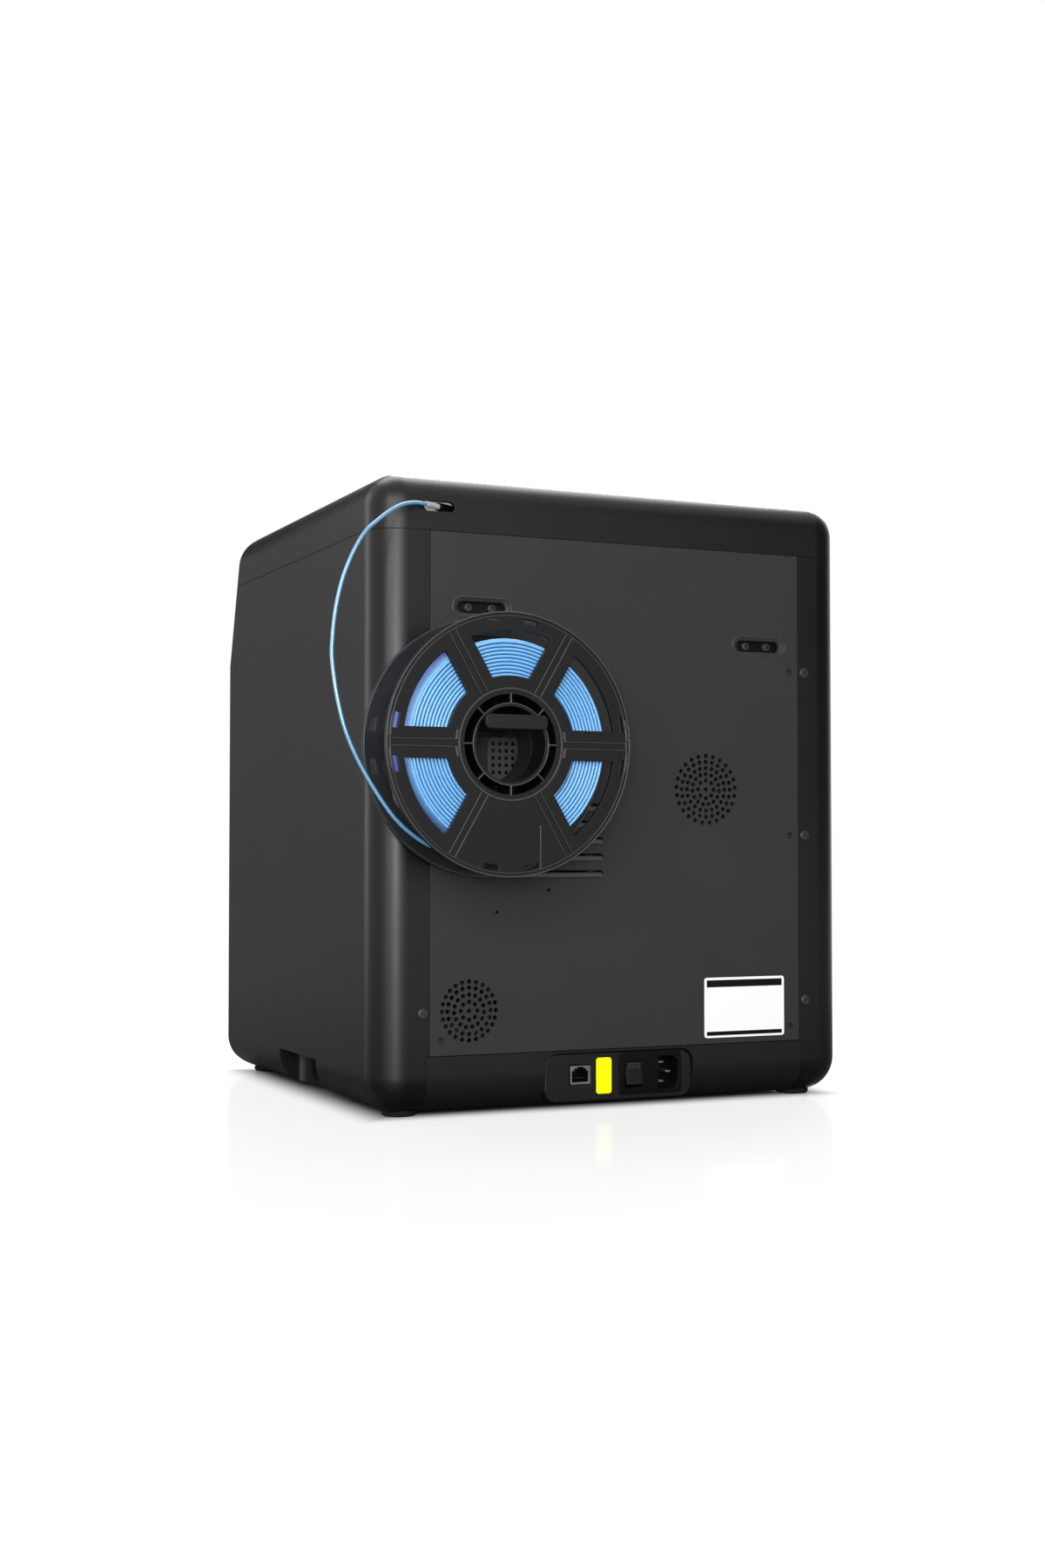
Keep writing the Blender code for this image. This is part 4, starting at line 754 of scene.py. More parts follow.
# Painted shade for the flanges' shadow: the blue that turns further in than the front face are painted.
SHADED_BLUE = ((0.07, 0.115, 0.58), here(0, FACE_Y - 26, 0).y, here(0, FACE_Y - 2, 0).y)
FILAMENT = drawn_filament("blue_filament", *WOUND_BLUES, (0.6, 0.12, 1.5), SHADED_BLUE)


def wound_points():
    """The visible tube, out over the front face and back over the drum."""
    total = FACE_TURNS + LAYER_TURNS
    points = []
    for step in range(total * TURN_POINTS + 1):
        turn = step / TURN_POINTS
        face = min(turn / FACE_TURNS, 1)
        layer = max(turn - FACE_TURNS, 0) / LAYER_TURNS
        radius = FIRST_TURN + (LAST_TURN - FIRST_TURN) * face
        y = FACE_Y + (REAR_Y - FACE_Y) * layer
        points.append(on_spool(radius, LEAVES - (total - turn) * 2 * math.pi, y))
    return points


def rear_spiral():
    """The spiral on the rear face, with one turn less."""
    steps = (FACE_TURNS - 1) * TURN_POINTS
    points = []
    for step in range(steps + 1):
        radius = FIRST_TURN + (REAR_LAST_TURN - FIRST_TURN) * step / steps
        points.append(on_spool(radius, step / TURN_POINTS * 2 * math.pi, REAR_Y))
    return points


winding = merged([tube_along(path, WOUND / 2, FILAMENT, 12) for path in (wound_points(), rear_spiral())])
place_piece("wound_filament", winding, FILAMENT, ["filament_winding"], "spool", sharp=60)
CORE_INSIDE, CORE_DIP, CORE_CREST = 43.0, 69.2, 69.9
core_face = FACE_Y - 0.8
ribs = [(CORE_INSIDE, REAR_Y), (CORE_DIP, REAR_Y)]
rib_places = LAYER_TURNS * 2 + 2
for rib in range(rib_places - 1):
    y = REAR_Y + (FACE_Y - 1 - REAR_Y) * (rib + 0.5) / rib_places
    ribs.append((CORE_CREST if rib % 2 else CORE_DIP, y))
ribs += [(CORE_DIP, core_face), (CORE_INSIDE, core_face)]
core_bore = prism(circle((SPOOL_X, SPOOL_Z), 42.3, 64), "Y", 190, 250)
core = cut(turned(ribs, (SPOOL_X, SPOOL_Z), "Y", 96), core_bore)
# The core is painted a dark blue: painted shade in the gaps between the turns.
SHADED_CORE = moulded("filament_depths", (0.010, 0.058, 0.23), 0.5, 0.5, 0.05)
place_piece("filament_depths", core, SHADED_CORE, ["filament_core"], "spool")

# %% [markdown]
# ## Spool
# The spool is moulded in two halves that clip together at the hub. Each flange has six narrow spokes with
# panels between them, a thin raised lip at its rim and pairs of slots for the loose end. Five of the panels
# have windows. The outlines come first, because both halves share them.


# %% Spool outlines
def about_spool(points):
    return [(SPOOL_X + a, SPOOL_Z + b) for a, b in points]


def sector(radii, start, end, steps):
    inside = arc((0, 0), radii[0], start, end, steps)
    return about_spool(inside + arc((0, 0), radii[1], end, start, steps))


def between_spokes(middle, radii, half):
    """The outline of a panel between two spokes whose sides are parallel."""
    inner, outer = (30 - math.degrees(math.asin(half / radius)) for radius in radii)
    inside = arc((0, 0), radii[0], middle - inner, middle + inner, 10)
    return about_spool(inside + arc((0, 0), radii[1], middle + outer, middle - outer, 18))


WINDOW = (46.8, 78.2)
window_middles = (30, 90, 150, 210, 330)
windows = [between_spokes(middle, WINDOW, 10.5) for middle in window_middles]
slot_middles = [quarter + side for quarter in (0, 90, 180, 270) for side in (-10, 10)]
rim_slots = [sector((82.7, 86.3), middle - 3.7, middle + 3.7, 6) for middle in slot_middles]
pockets = [sector((27.7, 34.2), start + 1.5, start + 43.5, 10) for start in range(0, 360, 45)]
bore = about_spool(circle((0, 0), 25.8))
print("spool outlines:", len(windows), "windows,", len(rim_slots), "slots,", len(pockets), "pockets")

# %% [markdown]
# ## Spool halves
# A flange could be cut out of a disc with Booleans. A filled curve takes the outline, the windows and the
# slots at once and rounds all their edges, so each layer of a half is pressed that way.


# %% Spool halves
def ring_line(radii, low, high):
    """A thin raised ring on a flange."""
    outside, inside = (about_spool(circle((0, 0), radius, 128)) for radius in radii)
    return pressed(outside, [inside], "Y", *sorted((low, high)), 0.25)


def close_by(angle, middle):
    """Whether an angle lies within a panel, whose middle is given, also across the full turn."""
    return abs((angle - middle + 180) % 360 - 180) < 22


def spool_half(face, outward):
    """A flange whose face is at one place along the axis, with its panels and its half of the hub."""
    inner = face - 3.5 * outward
    deep = face - 0.7 * outward
    parting = 221.5 + 0.15 * outward
    rim = about_spool(circle((0, 0), 90.5, 128))
    holes = [bore, *pockets, *rim_slots]
    parts = [pressed(rim, [*holes, *windows], "Y", *sorted((inner, deep)), 0.3)]
    for panel_middle in range(30, 390, 60):
        panel = between_spokes(panel_middle, (38.7, 87.3), 3.0)
        openings = [hole for hole, middle in zip(windows, window_middles) if middle == panel_middle]
        openings += [slot for slot, middle in zip(rim_slots, slot_middles) if close_by(middle, panel_middle)]
        thickness = sorted((deep - 0.3 * outward, face - 0.15 * outward))
        parts.append(pressed(panel, openings, "Y", *thickness, 0.25))
    drum = about_spool(circle((0, 0), 42, 96))
    parts.append(pressed(drum, [bore, *pockets], "Y", *sorted((inner + 0.4 * outward, parting)), 0.2))
    return merged(parts)


print("spool tools ready")

# %% [markdown]
# ## Spool lines
# Thin raised lines catch the light on the dark flanges: rings, two lines along each spoke, the eight ribs
# behind the hub's rim, and the clips. They are pieces of their own, painted lighter than the faces as a
# painted highlight for the light on their edges. One spoke's lines are drawn and turned about the axis.


# %% Spool lines
def spool_lines(face, outward):
    """The raised lines of a flange: its rings, two lines along each spoke, the hub's ribs and the clips."""
    low = face - outward
    back = face - 3.5 * outward
    rings = [ring_line((90.5, 89.4), low, face + 0.4 * outward), ring_line((87.9, 87.2), low, face)]
    rings.append(ring_line((90.5, 89.4), back + 0.4 * outward, back - 0.4 * outward))
    rings += [ring_line((38.7, 37.4), low, face), ring_line((28.4, 27.4), low, face)]
    pair = []
    for side in (1, -1):
        spoke_line = rounded((38.9, 87.0), span(side * 2.5, 0.7), 0.3, 3)
        pair.append(pressed(spoke_line, [], "Z", -1, 0.3, 0.25))
    lines = [turned_copies(at_origin(merged(pair)), 6, HIGHLIGHT_TRIM)]
    hub_rib = at_origin(pressed(rounded((27.6, 34.6), span(0, 0.9), 0.3, 3), [], "Z", -1, 0.1, 0.25))
    lines.append(turned_copies(hub_rib, 8, HIGHLIGHT_TRIM))
    for radii, reach in (((87.0, 88.7), (2.5, 12)), ((39.4, 41.2), (3, 13))):
        for side in (1, -1):
            arcs = arc((0, 0), radii[0], side * reach[0], side * reach[1], 6)
            arcs += arc((0, 0), radii[1], side * reach[1], side * reach[0], 6)
            clip = at_origin(pressed(arcs, [], "Z", -1, 0.6, 0.3))
            lines.append(turned_copies(clip, 2, HIGHLIGHT_TRIM))
    lines.append(at_origin(pressed(rounded(span(-21.8, 0.7), (-85, -55), 0.3, 3), [], "Z", -1, 0.3, 0.25)))
    ridges = merged(lines)
    ends = Matrix(((1, 0, 0, 0), (0, 0, outward, 0), (0, 1, 0, 0), (0, 0, 0, 1)))
    ridges.transform(Matrix.Translation(here(SPOOL_X, face, SPOOL_Z)) @ ends)
    bm = bmesh.new()
    bm.from_mesh(ridges)
    return merged([mesh_from(bm), *rings])


# The rear half takes the lighter colour, painted light where the front flange shades it.
halves = (("outer", 245.5, 1, SPOOL, "spool_front_half"), ("inner", 197.5, -1, LIT_SPOOL_REAR, "spool_rear_half"))
for name, face, outward, finish, node in halves:
    place_piece(f"spool_{name}_half", spool_half(face, outward), finish, [node], "spool")
    place_piece(f"spool_{name}_lines", spool_lines(face, outward), HIGHLIGHT_TRIM, body="spool")


# %% [markdown]
# ## Spool holder and guide tube
# The spool hangs on a flat arm with a raised lip at its tip. The white tube at the top leads the filament
# in; it lies at a grazing angle in its oval hole, so that the filament doesn't kink, and ends in a black
# sleeve, which also paints the shade deep in the hole. Both pipes are pressed upright and then turned to
# the filament's heading.

# %% Spool holder and guide tube
arm = pressed(rounded((97, 133), (271, 276.7), 2), [], "Y", 185.8, 252, 0.4)
lip = pressed(rounded((92, 138), (268.6, 278.6), 4), [], "Y", 251.5, 255.5, 0.8)
root = pressed(rounded((94, 136), (267.5, 284.7), 5), [], "Y", 185.8, 189.8, 0.8)
place_piece("holder_arm", merged([arm, lip, root]), CHASSIS, ["spool_holder"])


def inlet_pipe(outer, inner, low, high):
    """A pipe on the filament's line into the machine, between two places behind the tube's mouth."""
    pipe = at_origin(pressed(circle((0, 0), outer, 32), [circle((0, 0), inner, 32)], "Z", low, high, 0.3))
    tube_turn = Vector((0, 0, 1)).rotation_difference(tube_heading).to_matrix().to_4x4()
    pipe.transform(Matrix.Translation(tube_end) @ tube_turn)
    return pipe


place_piece("inlet_tube", inlet_pipe(2.1, 1.5, -14, 0), TUBE, ["guide_tube"])
# The black sleeve also paints the shade deep inside the inlet hole.
place_piece("inlet_sleeve", inlet_pipe(3.0, 1.6, -40, -13.5), SOCKET)

# %% [markdown]
# ## Housing
# The housing is one rounded block, parted into side shells, top cover, rear bar, base and front. Each could
# be modelled on its own, but then the roundings would not meet. So one function draws the block, and each
# part is cut from it along the seams.

# %% The rounded block
HALF_W, HALF_D, HEIGHT = 191.5, 185.5, 453.0
REAR_CORNER, FRONT_CORNER = 25, 6
BOTTOM, BOTTOM_EDGE, TOP_EDGE = 3.2, 26, 23.5
LEAN_FROM, LEAN = 345, 0.315
WALL, TOP_WALL = 3, 8
FAR = 400.0


def plan_ring(z, shrink):
    """The housing's plan at one height, drawn in by its edge rounding. Higher up the front leans back."""
    x, rear = HALF_W - shrink, HALF_D - shrink
    front = -HALF_D + shrink + max(0, z - LEAN_FROM) * LEAN
    rear_r, front_r = max(REAR_CORNER - shrink, 0.8), max(FRONT_CORNER - shrink, 0.8)
    points = arc((x - rear_r, rear - rear_r), rear_r, 0, 90, 14)
    points += arc((rear_r - x, rear - rear_r), rear_r, 90, 180, 14)
    points += arc((front_r - x, front + front_r), front_r, 180, 270, 6)
    points += arc((x - front_r, front + front_r), front_r, 270, 360, 6)
    return [here(a, b, z) for a, b in points]


def housing_block(inset, top_inset):
    """The round-edged block, or the hollow inside it when it is inset."""
    low, high = BOTTOM + inset, HEIGHT - top_inset
    bottom_r, top_r = BOTTOM_EDGE - inset, TOP_EDGE - inset
    turns = [math.radians(90 * step / 12) for step in range(13)]
    levels = [(low + bottom_r * (1 - math.cos(t)), bottom_r * (1 - math.sin(t))) for t in turns]
    levels.append((LEAN_FROM, 0))
    levels += [(high - top_r * (1 - math.sin(t)), top_r * (1 - math.cos(t))) for t in turns]
    return loft([plan_ring(z, inset + edge) for z, edge in levels])


def hollow():
    """The space inside the housing's walls."""
    return housing_block(WALL, TOP_WALL)


def side_block(side, near, far, y, z):
    """A block on the right (side 1) or on the left (side -1)."""
    x = sorted((side * near, side * far))
    return block((x[0], y[0], z[0]), (x[1], y[1], z[1]))


print("housing:", 2 * HALF_W, "by", 2 * HALF_D, "by", HEIGHT, "mm")

# %% [markdown]
# ## Side shells and top cover
# A side shell wraps the rear corner and has a hand grip in its lower edge. The cover has the well under the
# lid and the oval hole for the filament. Booleans cut both from the block, and a narrow bevel gives the
# seams an edge that catches the light.


# %% Side shells and top cover
def side_shell(side):
    """A side wall with its rear corner and its hand grip."""
    keep = side_block(side, 150.65, FAR, (-FAR, FAR), (0, 411.6))
    pocket = side_block(side, 162.5, FAR, (-36, 60), (0, 34))
    grip = prism(rounded(sorted((side * 165.5, side * 215.5)), (-33, 57), 12), "Z", -3, 31)
    bar = side_block(side, 0, 152.85, (129.85, FAR), (0, 43.35))
    return cut(common(housing_block(0, 0), keep), cut(hollow(), pocket), grip, bar)


for side, hand in ((1, "right"), (-1, "left")):
    place_piece(f"{hand}_shell", side_shell(side), SHELL, [f"{hand}_side_shell"], edge=0.25)

cover_keep = block((-FAR, -FAR, 411.8), (FAR, FAR, 900))
recess = prism(rounded((-150, 150), (-120, 148), 12), "Z", 448.7, 900)
well = prism(rounded((-140, 140), (-110, 138), 9), "Z", 411.7, 900)
notch = prism(rounded((-25, 25), (-127, -117), 3), "Z", 446.2, 900)
inlet_hole = prism(rounded((132.3, 155.3), (425.2, 432.4), 3.5), "Y", 170, FAR)
cover = cut(common(housing_block(0, 0), cover_keep), hollow(), recess, well, notch, inlet_hole)
place_piece("cover_cap", cover, SHELL, ["top_cover"], edge=0.25)

# %% [markdown]
# ## Rear panel
# The panel is a flat moulding that lies between the two side shells. Two discs of small round holes let the
# fans breathe. The holes in a disc stand in rings, so one tree sets pegs in a ring, and all the pegs are
# cut out of the panel at once.


# %% Rear panel
def peg_disc(centre, rings, radius, y):
    """Pegs for a disc of holes: a middle one, and rings with their radius and count."""
    size = {"Peg Radius": radius * MM, "Length": 8 * MM, "Finish": PANEL}
    discs = []
    for ring_radius, count in rings:
        values = size | {"Ring Radius": ring_radius * MM, "Count": count}
        discs.append(grow(ring_tree, points_mesh([(0, 0, 0)]), values))
    turn = Matrix.Translation(here(centre[0], y, centre[1])) @ Matrix.Rotation(math.pi / 2, 4, "X")
    turn @= Matrix.Rotation(math.pi / 2, 4, "Z")
    pegs = merged(discs)
    pegs.transform(turn)
    return merged([pegs, prism(circle(centre, radius, 14), "Y", y - 4, y + 4)])


exhaust_rings = [(6.6, 8), (11.3, 15), (15.9, 20), (20.5, 24), (24.9, 25)]
cooler_rings = [(6.3, 8), (11.4, 15), (16.3, 20), (20.5, 24)]
EXHAUST_AT, COOLER_AT = (-70.0, 232.3), (120.8, 74.3)
SLOT_HEIGHTS = range(170, 219, 12)
slots = [rounded((15.5, 95.5), span(z, 5), 2.4) for z in SLOT_HEIGHTS]
TENSION_AT = ((111, 359), (-116, 341))
flares = [rounded(span(x, 45), span(z, 14), 6.9) for x, z in TENSION_AT]
throats = [rounded(span(x, 37.5), span(z, 8.4), 4.1) for x, z in TENSION_AT]
panel_outline = rounded((-150.35, 150.35), (43.35, 411.55), 0.6, 2)
panel = pressed(panel_outline, [*slots, *flares], "Y", 182.5, 185.5, 0.45)
dimple_places = [(side * 142.5, z) for side in (1, -1) for z in (322.4, 198.2, 54.0)]
dimple_profile = [(1.8, 183.0), (2.2, 184.6), (3.0, 187)]
dimples = [turned(dimple_profile, place, "Y", 20) for place in dimple_places]
marks = [prism(circle(place, 1.3, 16), "Y", 180, 190) for place in ((99.5, 143.1), (59.3, 158.7))]
pegs = merged([peg_disc(EXHAUST_AT, exhaust_rings, 1.7, 184), peg_disc(COOLER_AT, cooler_rings, 1.7, 184)])
panel = cut(panel, pegs, merged(dimples), merged(marks))
print("rear panel:", len(panel.polygons), "faces with its holes")

# %% [markdown]
# ## Tension windows and slots
# Two flared windows show the belt tensioners, and five slots let air through. A window's flare is a loft
# from its throat to its mouth, cut from a collar, and a thin bead runs around it. Each slot has a sloped
# slat behind it, so that nothing can be seen through. The beads and a lip over each slot are painted
# lighter than the panel, a painted highlight along their edges.

# %% Tension windows and slots
collars, beads = [], []
for flare, throat in zip(flares, throats):
    steps = ((throat, 183.0), (throat, 183.9), (flare, 185.6))
    flare_cut = loft([[at("Y", *point, y) for point in ring] for ring, y in steps])
    rim = pressed(grown(flare, 0.4), [throat], "Y", 180.0, 183.6, 0.3)
    funnel = cut(prism(grown(flare, 0.3), "Y", 183.3, 185.35), flare_cut)
    collars += [rim, funnel]
    beads.append(pressed(grown(flare, 0.6), [grown(flare, -0.5)], "Y", 184.9, 186.0, 0.4))
slats, lips = [], []
for z in SLOT_HEIGHTS:
    profile = [(185.45, z - 2.9), (185.45, z - 2.2), (182.4, z + 0.5), (178, z + 1.2), (178, z - 2.9)]
    slats.append(prism(profile, "X", 14, 97))
    lips.append(pressed(rounded((16, 95), (z - 2.8, z + 0.9), 1.6, 6), [], "Y", 184.4, 186.4, 0.7))
flanges = [side_block(side, 149.5, 163, (180, 182.2), (43.35, 411.55)) for side in (1, -1)]
place_piece("rear_cover", merged([panel, *collars, *slats, *flanges]), PANEL, ["rear_panel"])
# Beads and slot lips take the lighter colour, a painted highlight along their edges.
place_piece("window_beads", merged([*beads, *lips]), HIGHLIGHT_TRIM)

# %% [markdown]
# ## Fan guards and vent patch
# Black wire guards stand behind the two discs, and a bright screw of each fan glints through the holes. A
# guard is a few wire rings on two crossed wires, so the tube tree draws it along circles and lines. Behind
# the spool lies a raised patch with a grid of holes: one peg is stamped on the grid and cut out. The patch
# is painted lighter than the panel, painted light where the spool shades it, and a thin black sheet inside
# it paints the shade in its holes.


# %% Fan guards and vent patch
def ring_path(centre, radius, y):
    return [at("Y", *point, y) for point in [*circle(centre, radius, 48), (centre[0] + radius, centre[1])]]


guards = []
for centre, radii in ((EXHAUST_AT, (7, 13, 19, 25)), (COOLER_AT, (6.5, 12, 17.5))):
    guards += [tube_along(ring_path(centre, radius, 181.3), 0.6, SOCKET, 8) for radius in radii]
    for angle in (45, 135):
        reach = radii[-1] + 3
        tip = (reach * math.cos(math.radians(angle)), reach * math.sin(math.radians(angle)))
        ends = [at("Y", centre[0] + s * tip[0], centre[1] + s * tip[1], 180.4) for s in (-1, 1)]
        guards.append(tube_along(ends, 0.6, SOCKET, 8))
place_piece("fan_guards", merged(guards), SOCKET, sharp=60)

patch = pressed(rounded((71.5, 107.5), (234.6, 267.3), 4), [], "Y", 185.3, 187.0, 0.6)
GRID_PITCH = 5.1
grid_points = []
for column in range(6):
    x = 103.3 - GRID_PITCH * column
    grid_points += [at("Y", x, 262.6 - GRID_PITCH * row, 186) for row in range(5)]
peg_shape = at_origin(prism(circle((0, 0), 1.45, 14), "Y", -3, 3))
patch = cut(patch, stamped(peg_shape, grid_points, PANEL))
place_piece("vent_patch", patch, LIT_PATCH)
# A thin black sheet inside the patch: painted shade in its holes.
hole_shade_sheet = pressed(rounded((73, 106), (236, 266), 3), [], "Y", 185.45, 185.7, 0.05)
place_piece("vent_backing", hole_shade_sheet, SOCKET)

# %% [markdown]
# ## Screws
# Six button-head screws hold the side shells. One screw with its hexagon socket is drawn once and stamped
# on six places. Two smaller screws show in each tensioner window, where the belts are tightened.


# %% Screws
def button_screw(radius, height, socket):
    """A button head that looks along Y, with a hexagon socket, at the origin."""
    steps = [math.radians(90 * step / 6) for step in range(7)]
    profile = [(radius, 0.0), (radius, height * 0.3)]
    profile += [(radius * (0.62 + 0.38 * math.cos(t)), height * (0.3 + 0.7 * math.sin(t))) for t in steps[1:]]
    head = turned(profile, (0, 0), "Y", 32)
    hexagon = prism(circle((0, 0), socket, 6), "Y", height * 0.35, height + 2)
    screw = at_origin(cut(head, hexagon))
    screw.shade_smooth()
    return screw


screw_places = [here(side * 155.7, 185.6, z) for side in (1, -1) for z in (322.4, 198.3, 73.3)]
screws = stamped(button_screw(4, 1.3, 1.5), screw_places, BLACK_STEEL)
place_piece("rear_screws", screws, BLACK_STEEL, [f"rear_screw_{n}" for n in range(1, 7)])
tension_places = [here(x + shift, 179.6, z) for x, z in TENSION_AT for shift in (-9, 9)]
tension_screws = stamped(button_screw(3.4, 2.6, 1.7), tension_places, BLACK_STEEL)
place_piece("tension_screws", tension_screws, BLACK_STEEL)
fan_screws = stamped(button_screw(2.6, 1.6, 1.1), [here(117, 180.2, 59.6), here(-74, 180.2, 214)], ROD)
place_piece("fan_screws", fan_screws, ROD)

# %% [markdown]
# ## Rear bar and connectors
# A darker bar closes the back below the panel. It is cut from the same block as the shells, so its lower
# edge runs on in line. In its middle a plate carries the network socket and the mains inlet with its
# switch.

# %% Rear bar and connector plate
bar_keep = block((-152.55, 130.15, 0), (152.55, FAR, 43.05))
plate_hole = prism(rounded((-58.5, 62.0), (5.5, 41.3), 10.5), "Y", 145, FAR)
bar = cut(common(housing_block(0, 0), bar_keep), hollow(), plate_hole)
place_piece("lower_bar", bar, CHASSIS, ["rear_bar"], edge=0.5)
module_hole = rounded((-46.5, 0), (11.8, 38.2), 1)
jack_hole = rounded((25.3, 41.7), (18.2, 32.2), 0.5)
plate_outline = rounded((-58, 61.5), (6, 40.8), 10)
face = pressed(plate_outline, [module_hole, jack_hole], "Y", 181, 183.5, 1.1)
cup = pressed(plate_outline, [rounded((-55.5, 59), (8.5, 38.3), 8)], "Y", 150.5, 181.5, 0.3)
place_piece("socket_plate", merged([face, cup]), CHASSIS, ["connector_plate"])

# %% [markdown]
# ## Mains module
# Inlet and switch are one bought-in module that is blacker and glossier than the plate: a bezel with two
# mouths, a shaft behind each, and three flat pins. Each step in depth has its own outline, so all of it is
# pressed from outlines.

# %% Mains module
inlet_mouth = [(-29.6, 12.3), (-29.6, 36.3), (-41.8, 36.3), (-45.8, 32.3), (-45.8, 16.3), (-41.8, 12.3)]
switch_mouth = rounded((-15.9, -2), (14.7, 33.5), 0.8)
module = [pressed(rounded((-48.5, 2), (9.8, 40.2), 2), [inlet_mouth, switch_mouth], "Y", 183.8, 185.3, 0.4)]
module.append(pressed(grown(inlet_mouth, 1.2), [inlet_mouth], "Y", 170.0, 184.4, 0.3))
module.append(prism(grown(inlet_mouth, 1.0), "Y", 168, 170.3))
module.append(pressed(grown(switch_mouth, 1.2), [switch_mouth], "Y", 174.0, 184.4, 0.3))
module.append(prism(grown(switch_mouth, 1.0), "Y", 172.5, 174.2))
place_piece("mains_module", merged(module), SOCKET, ["power_inlet"])
pins = []
for x, z in ((-34.6, 17.3), (-34.6, 31.3), (-40.3, 24.3)):
    pins.append(pressed(rounded(span(x, 4), span(z, 1.6), 0.5, 3), [], "Y", 170.0, 180.0, 0.35))
place_piece("mains_pins", merged(pins), SHIELD)

# %% [markdown]
# ## Switch
# The rocker rests tilted to one side and has a hollow face with fine ribs. Its side view is drawn as an
# outline and pulled out to its width, which gives the hollow exactly. One rib is stamped four times.

# %% Switch
half_rocker = 8.3
tilt = math.radians(8)
rocker_profile = [(7.5, half_rocker), (0, half_rocker), (-4, half_rocker / 2), (-4, -half_rocker / 2)]
rocker_profile += [(0, -half_rocker), (7.5, -half_rocker)]
rocker_profile += [(6.5 + (z / half_rocker) ** 2, z) for z in (-6, -4, -2, 0, 2, 4, 6)]
pivot_y, pivot_z = 180.0, 24.1
rocker_outline = [
    (pivot_y + y * math.cos(tilt) - z * math.sin(tilt), pivot_z + y * math.sin(tilt) + z * math.cos(tilt))
    for y, z in rocker_profile
]
rocker = prism(rocker_outline, "X", -15.6, -2.3)
place_piece("switch_rocker", rocker, ROCKER, ["power_rocker"], "rocker", edge=0.5)
# The rocker's ribs take the lighter colour, a painted highlight on their edges.
rib_shape = at_origin(pressed(rounded(span(-8.95, 9.5), span(0, 0.6), 0.25, 3), [], "Y", 6.0, 7.5, 0.25))
ribs = stamped(rib_shape, [Vector((0, 0, (3.4 + 1.1 * n) * MM)) for n in range(4)], HIGHLIGHT_TRIM)
ribs.transform(Matrix.Translation(here(0, pivot_y, pivot_z)) @ Matrix.Rotation(tilt, 4, "X"))
place_piece("rocker_ribs", ribs, HIGHLIGHT_TRIM, body="rocker")

# %% [markdown]
# ## Network socket
# The network socket is a metal shield around a black insert with a stepped mouth. Eight gilt contacts slope
# up inside it, painted a dark gold as painted shade inside the socket. One contact is drawn as a thin wedge
# and stamped eight times.

# %% Network socket
mouth = [(27.0, 20.2), (40.2, 20.2), (40.2, 28.2), (38.2, 28.2), (38.2, 29.9), (36.0, 29.9), (36.0, 31.0)]
mouth += [(31.0, 31.0), (31.0, 29.9), (28.8, 29.9), (28.8, 28.2), (27.0, 28.2)]
shield_outline = rounded((25.6, 41.4), (18.5, 31.9), 0.8, 3)
shield_inside = rounded((26.4, 40.7), (19.5, 31.3), 0.5, 3)
jack = [pressed(shield_outline, [mouth], "Y", 182.0, 184.3, 0.25)]
jack.append(pressed(shield_outline, [shield_inside], "Y", 166.3, 182.2, 0.2))
place_piece("network_shield", merged(jack), SHIELD, ["ethernet_jack"])
insert_outline = rounded((26.3, 40.8), (19.4, 31.4), 0.5, 3)
insert = pressed(insert_outline, [mouth], "Y", 171, 182.6, 0.15)
insert_back = prism(insert_outline, "Y", 169, 171.2)
place_piece("network_insert", merged([insert, insert_back]), SOCKET)
contact_shape = at_origin(prism([(-5, -0.25), (5, 1.6), (5, 2.0), (-5, 0.2)], "X", -0.25, 0.25))
contacts = stamped(contact_shape, [here(29.6 + 1.02 * n, 176.5, 21.2) for n in range(8)], DARKENED_GOLD)
place_piece("network_contacts", contacts, DARKENED_GOLD)

# %% [markdown]
# ## Labels
# A white rating label with a dark band along its top and bottom sits low on the panel, and a small yellow
# tag sits between the sockets. Both are plain thin films, so they only stand a fraction of a millimetre
# proud. The bands have no thickness of their own, so the film's colour changes by place.

# %% Labels
LABEL_X, LABEL_Z = (-136.8, -68.0), (47.8, 92.4)
BAND_INSET = 2.0
TOP_BAND, LOW_BAND = (85.2, 90.5), (49.4, 52.4)


def within(place, low, high):
    """One between two places, and nought outside them."""
    return (place > low) * (place < high)


def banded_label(name):
    """White film with a dark band inside its top and its bottom edge, by place."""
    gloss = {"Specular IOR Level": 0.15}
    material, shader, place = new_finish(name, (0.90, 0.90, 0.89), 0.42, constants=gloss)
    across = place.make("SeparateXYZ", {}, {"Vector": place}, output=0)
    height = place.make("SeparateXYZ", {}, {"Vector": place}, output=2)
    fibre = place.make("TexNoise", {}, {"Vector": place, "Scale": 1500.0, "Detail": 2.0})
    paper = fibre.mix((0.84, 0.84, 0.835), (0.90, 0.90, 0.895))
    inside = within(across, here(LABEL_X[0] + BAND_INSET, 0, 0).x, here(LABEL_X[1] - BAND_INSET, 0, 0).x)
    top_band, low_band = (within(height, low * MM, high * MM) for low, high in (TOP_BAND, LOW_BAND))
    (inside * (top_band + low_band)).mix(paper, (0.002, 0.002, 0.002)).feed(shader, "Base Color")
    (0.36 + fibre * 0.12).feed(shader, "Roughness")
    return material


def tag_film(name):
    """Bright yellow film."""
    gloss = {"Specular IOR Level": 0.1}
    material, shader, place = new_finish(name, (0.95, 0.95, 0.002), 0.5, constants=gloss)
    fibre = place.make("TexNoise", {}, {"Vector": place, "Scale": 900.0, "Detail": 2.0})
    fibre.mix((0.93, 0.93, 0.001), (0.97, 0.97, 0.004)).feed(shader, "Base Color")
    (0.34 + fibre * 0.12).feed(shader, "Roughness")
    return material


